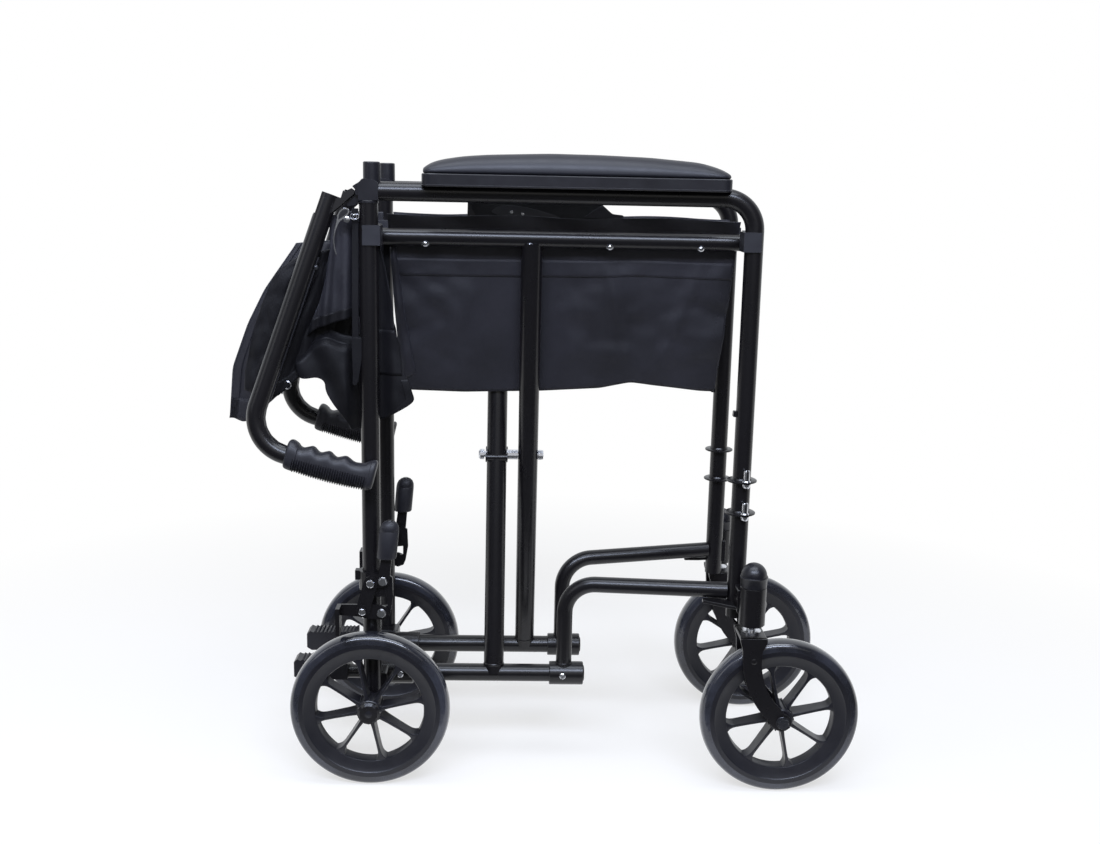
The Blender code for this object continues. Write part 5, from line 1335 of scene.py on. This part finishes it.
def fitting_bolts():
    """Pan heads that clamp the bottom rail in its two fittings."""
    face = RAIL_Y - SLEEVE - 0.0020
    heads = [slot_head((x, BOTTOM_RAIL_Z + rise), face, 0.0042, 0.0032, turn)
             for x, rise, turn in ((0.0326, 0.0036, 0.9), (0.2393, 0.0030, 0.4))]
    both("fitting_bolts", merged(*heads), ZINC, "frame", angle=25.0)


def cane():
    """Round skin of the handle tube, open towards the spigot at its end."""
    start = folded(at(SPIGOT_AXIS, POST_Y, CANE_FOOT + 0.0278))
    line = bent([start, CANE_CORNER, CANE_CORNER + GRIP_RUN * 0.054], 0.045, 24)
    arc = [math.radians(40 + 280 * k / 32) for k in range(33)]
    skin = TUBE + 0.0002
    rings = []
    for place, less in ((0.0, 0.0006), (0.0006, 0.0), (0.0270, 0.0), (0.0282, 0.0)):
        middle = CANE_START + CANE_RUN * place
        rings.append([middle - (CANE_AHEAD * math.cos(a) + CANE_SIDE * math.sin(a)) * radius
                      for radius, angles in ((skin - less, arc), (0.0098, arc[::-1])) for a in angles])
    both("cane_form", merged(tube(line, skin, 48), loft(rings)), PAINT, "cane")


def cane_strip():
    """Flat strip that clamps the cloth along the cane, with its screw."""
    start, end = 0.073, 0.250
    rings = []
    for share in (i / 30 for i in range(31)):
        middle = CANE_START + CANE_RUN * (start + (end - start) * share) + CANE_AHEAD * (TUBE - 0.0002)
        middle -= CANE_SIDE * 0.0010
        rings.append([middle + CANE_SIDE * a * (1 - 0.35 * share) + CANE_AHEAD * b for a, b in
                      ((-0.0050, -0.0010), (0.0050, -0.0010), (0.0046, 0.0014), (-0.0046, 0.0014))])
    both("cane_strip", loft(rings), PLASTIC, "cane")
    place = CANE_START + CANE_RUN * 0.085 + CANE_AHEAD * (TUBE + 0.0010) + OUT * 0.0030
    both("cane_screw", dome(place, OUT, 0.0030, 0.0020), BLACK_ZINC, "cane")


def pivot():
    """Two sleeves of the pivot bolt, set in the wall of the brace, and the bolt with its head and nut."""
    lean = (at(0, -RAIL_Y, SEAT_RAIL_Z) - at(0, RAIL_Y, BOTTOM_RAIL_Z)).normalized()
    middle = (SEAT_RAIL_Z + BOTTOM_RAIL_Z) / 2
    rows = ((0, 0.0040), (0.0002, 0.0062), (0.0016, 0.0062), (0.0018, 0.0046), (0.0266, 0.0046),
            (0.0268, 0.0062), (0.0282, 0.0062), (0.0284, 0.0040))
    for name, side in (("right_", 1), ("left_", -1)):
        start = at(BRACE_A - 0.0142, -lean.z * side * 0.0092, middle - 0.002 * side)
        piece(name + "pivot_sleeve", turned(start, AHEAD, rows, 28), PAINT, "cross_a")
    head = ((0, 0.0030), (0.0010, 0.0046), (0.0030, 0.0046), (0.0031, 0.0032), (0.0090, 0.0032))
    nut = ((0, 0.0060), (0.0012, 0.0060), (0.0014, 0.0048), (0.0060, 0.0048), (0.0062, 0.0030),
           (0.0072, 0.0028))
    bolt = [turned(at(x, 0, middle), AHEAD, profile, count) for x, profile, count in
            ((BRACE_A - 0.0230, head, 24), (BRACE_A + BRACE, ((0, 0.0032), (0.0146, 0.0032)), 20),
             (BRACE_B + BRACE, nut, 6))]
    piece("pivot_bolt_mid", merged(*bolt), ZINC, "cross_a", angle=25.0)


def brake_grips():
    """Dipped grip of each brake lever, with the line of its cap."""
    rows = ((0.0, 0.80), (0.0006, 0.93), (0.0020, 0.985), (0.0345, 0.985), (0.0350, 0.955), (0.0356, 0.985),
            (0.0400, 0.93), (0.0440, 0.78), (0.0468, 0.52), (0.0480, 0.20))
    rings = [circle(at(0.0205 + rise * 0.09, GRIP_MIDDLE, GRIP_FOOT + rise), Vector((0.0122, 0, 0)),
                    Vector((0, 0.0090, 0)), size, 36) for rise, size in rows]
    both("brake_grip", loft(rings), RUBBER, "brake_lever")


# Carried-over CAD nodes: a finish by slot, and softened edges
SOFT_EDGES = {"guide_front": 0.0010, "guide_rear": 0.0010, "brake_bracket": 0.0005, "brake_lever": 0.0005,
              "brake_link": 0.0005, "brake_shoe": 0.0005, "tipping_pedal": 0.0005}


def dress_nodes():
    for name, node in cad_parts.items():
        slot = node.data.materials[0].name
        for key, made in SLOTS.items():
            if slot.startswith(key):
                node.data.materials[0] = made
        kind = name.split("_", 1)[1]
        if kind.startswith("guide_"):
            node.data.materials[0] = GUIDE_NYLON
        if kind in SOFT_EDGES:
            bevel(node, SOFT_EDGES[kind])


for build in (wheels, side_tube, rear_post, stretcher, rear_fitting, cross_members, caster_housing,
              fork, post_bracket, release_lever, arm_base, arm_pad, hand_grip, seat, back, back_edge,
              flap, tie_strap, end_ring, belt, rail_screws, hanger_pins, brake_bolts, axle_caps,
              fitting_bolts, cane, cane_strip, pivot, brake_grips, dress_nodes, camera, studio):
    build()
bpy.context.scene.view_settings.view_transform = "Standard"
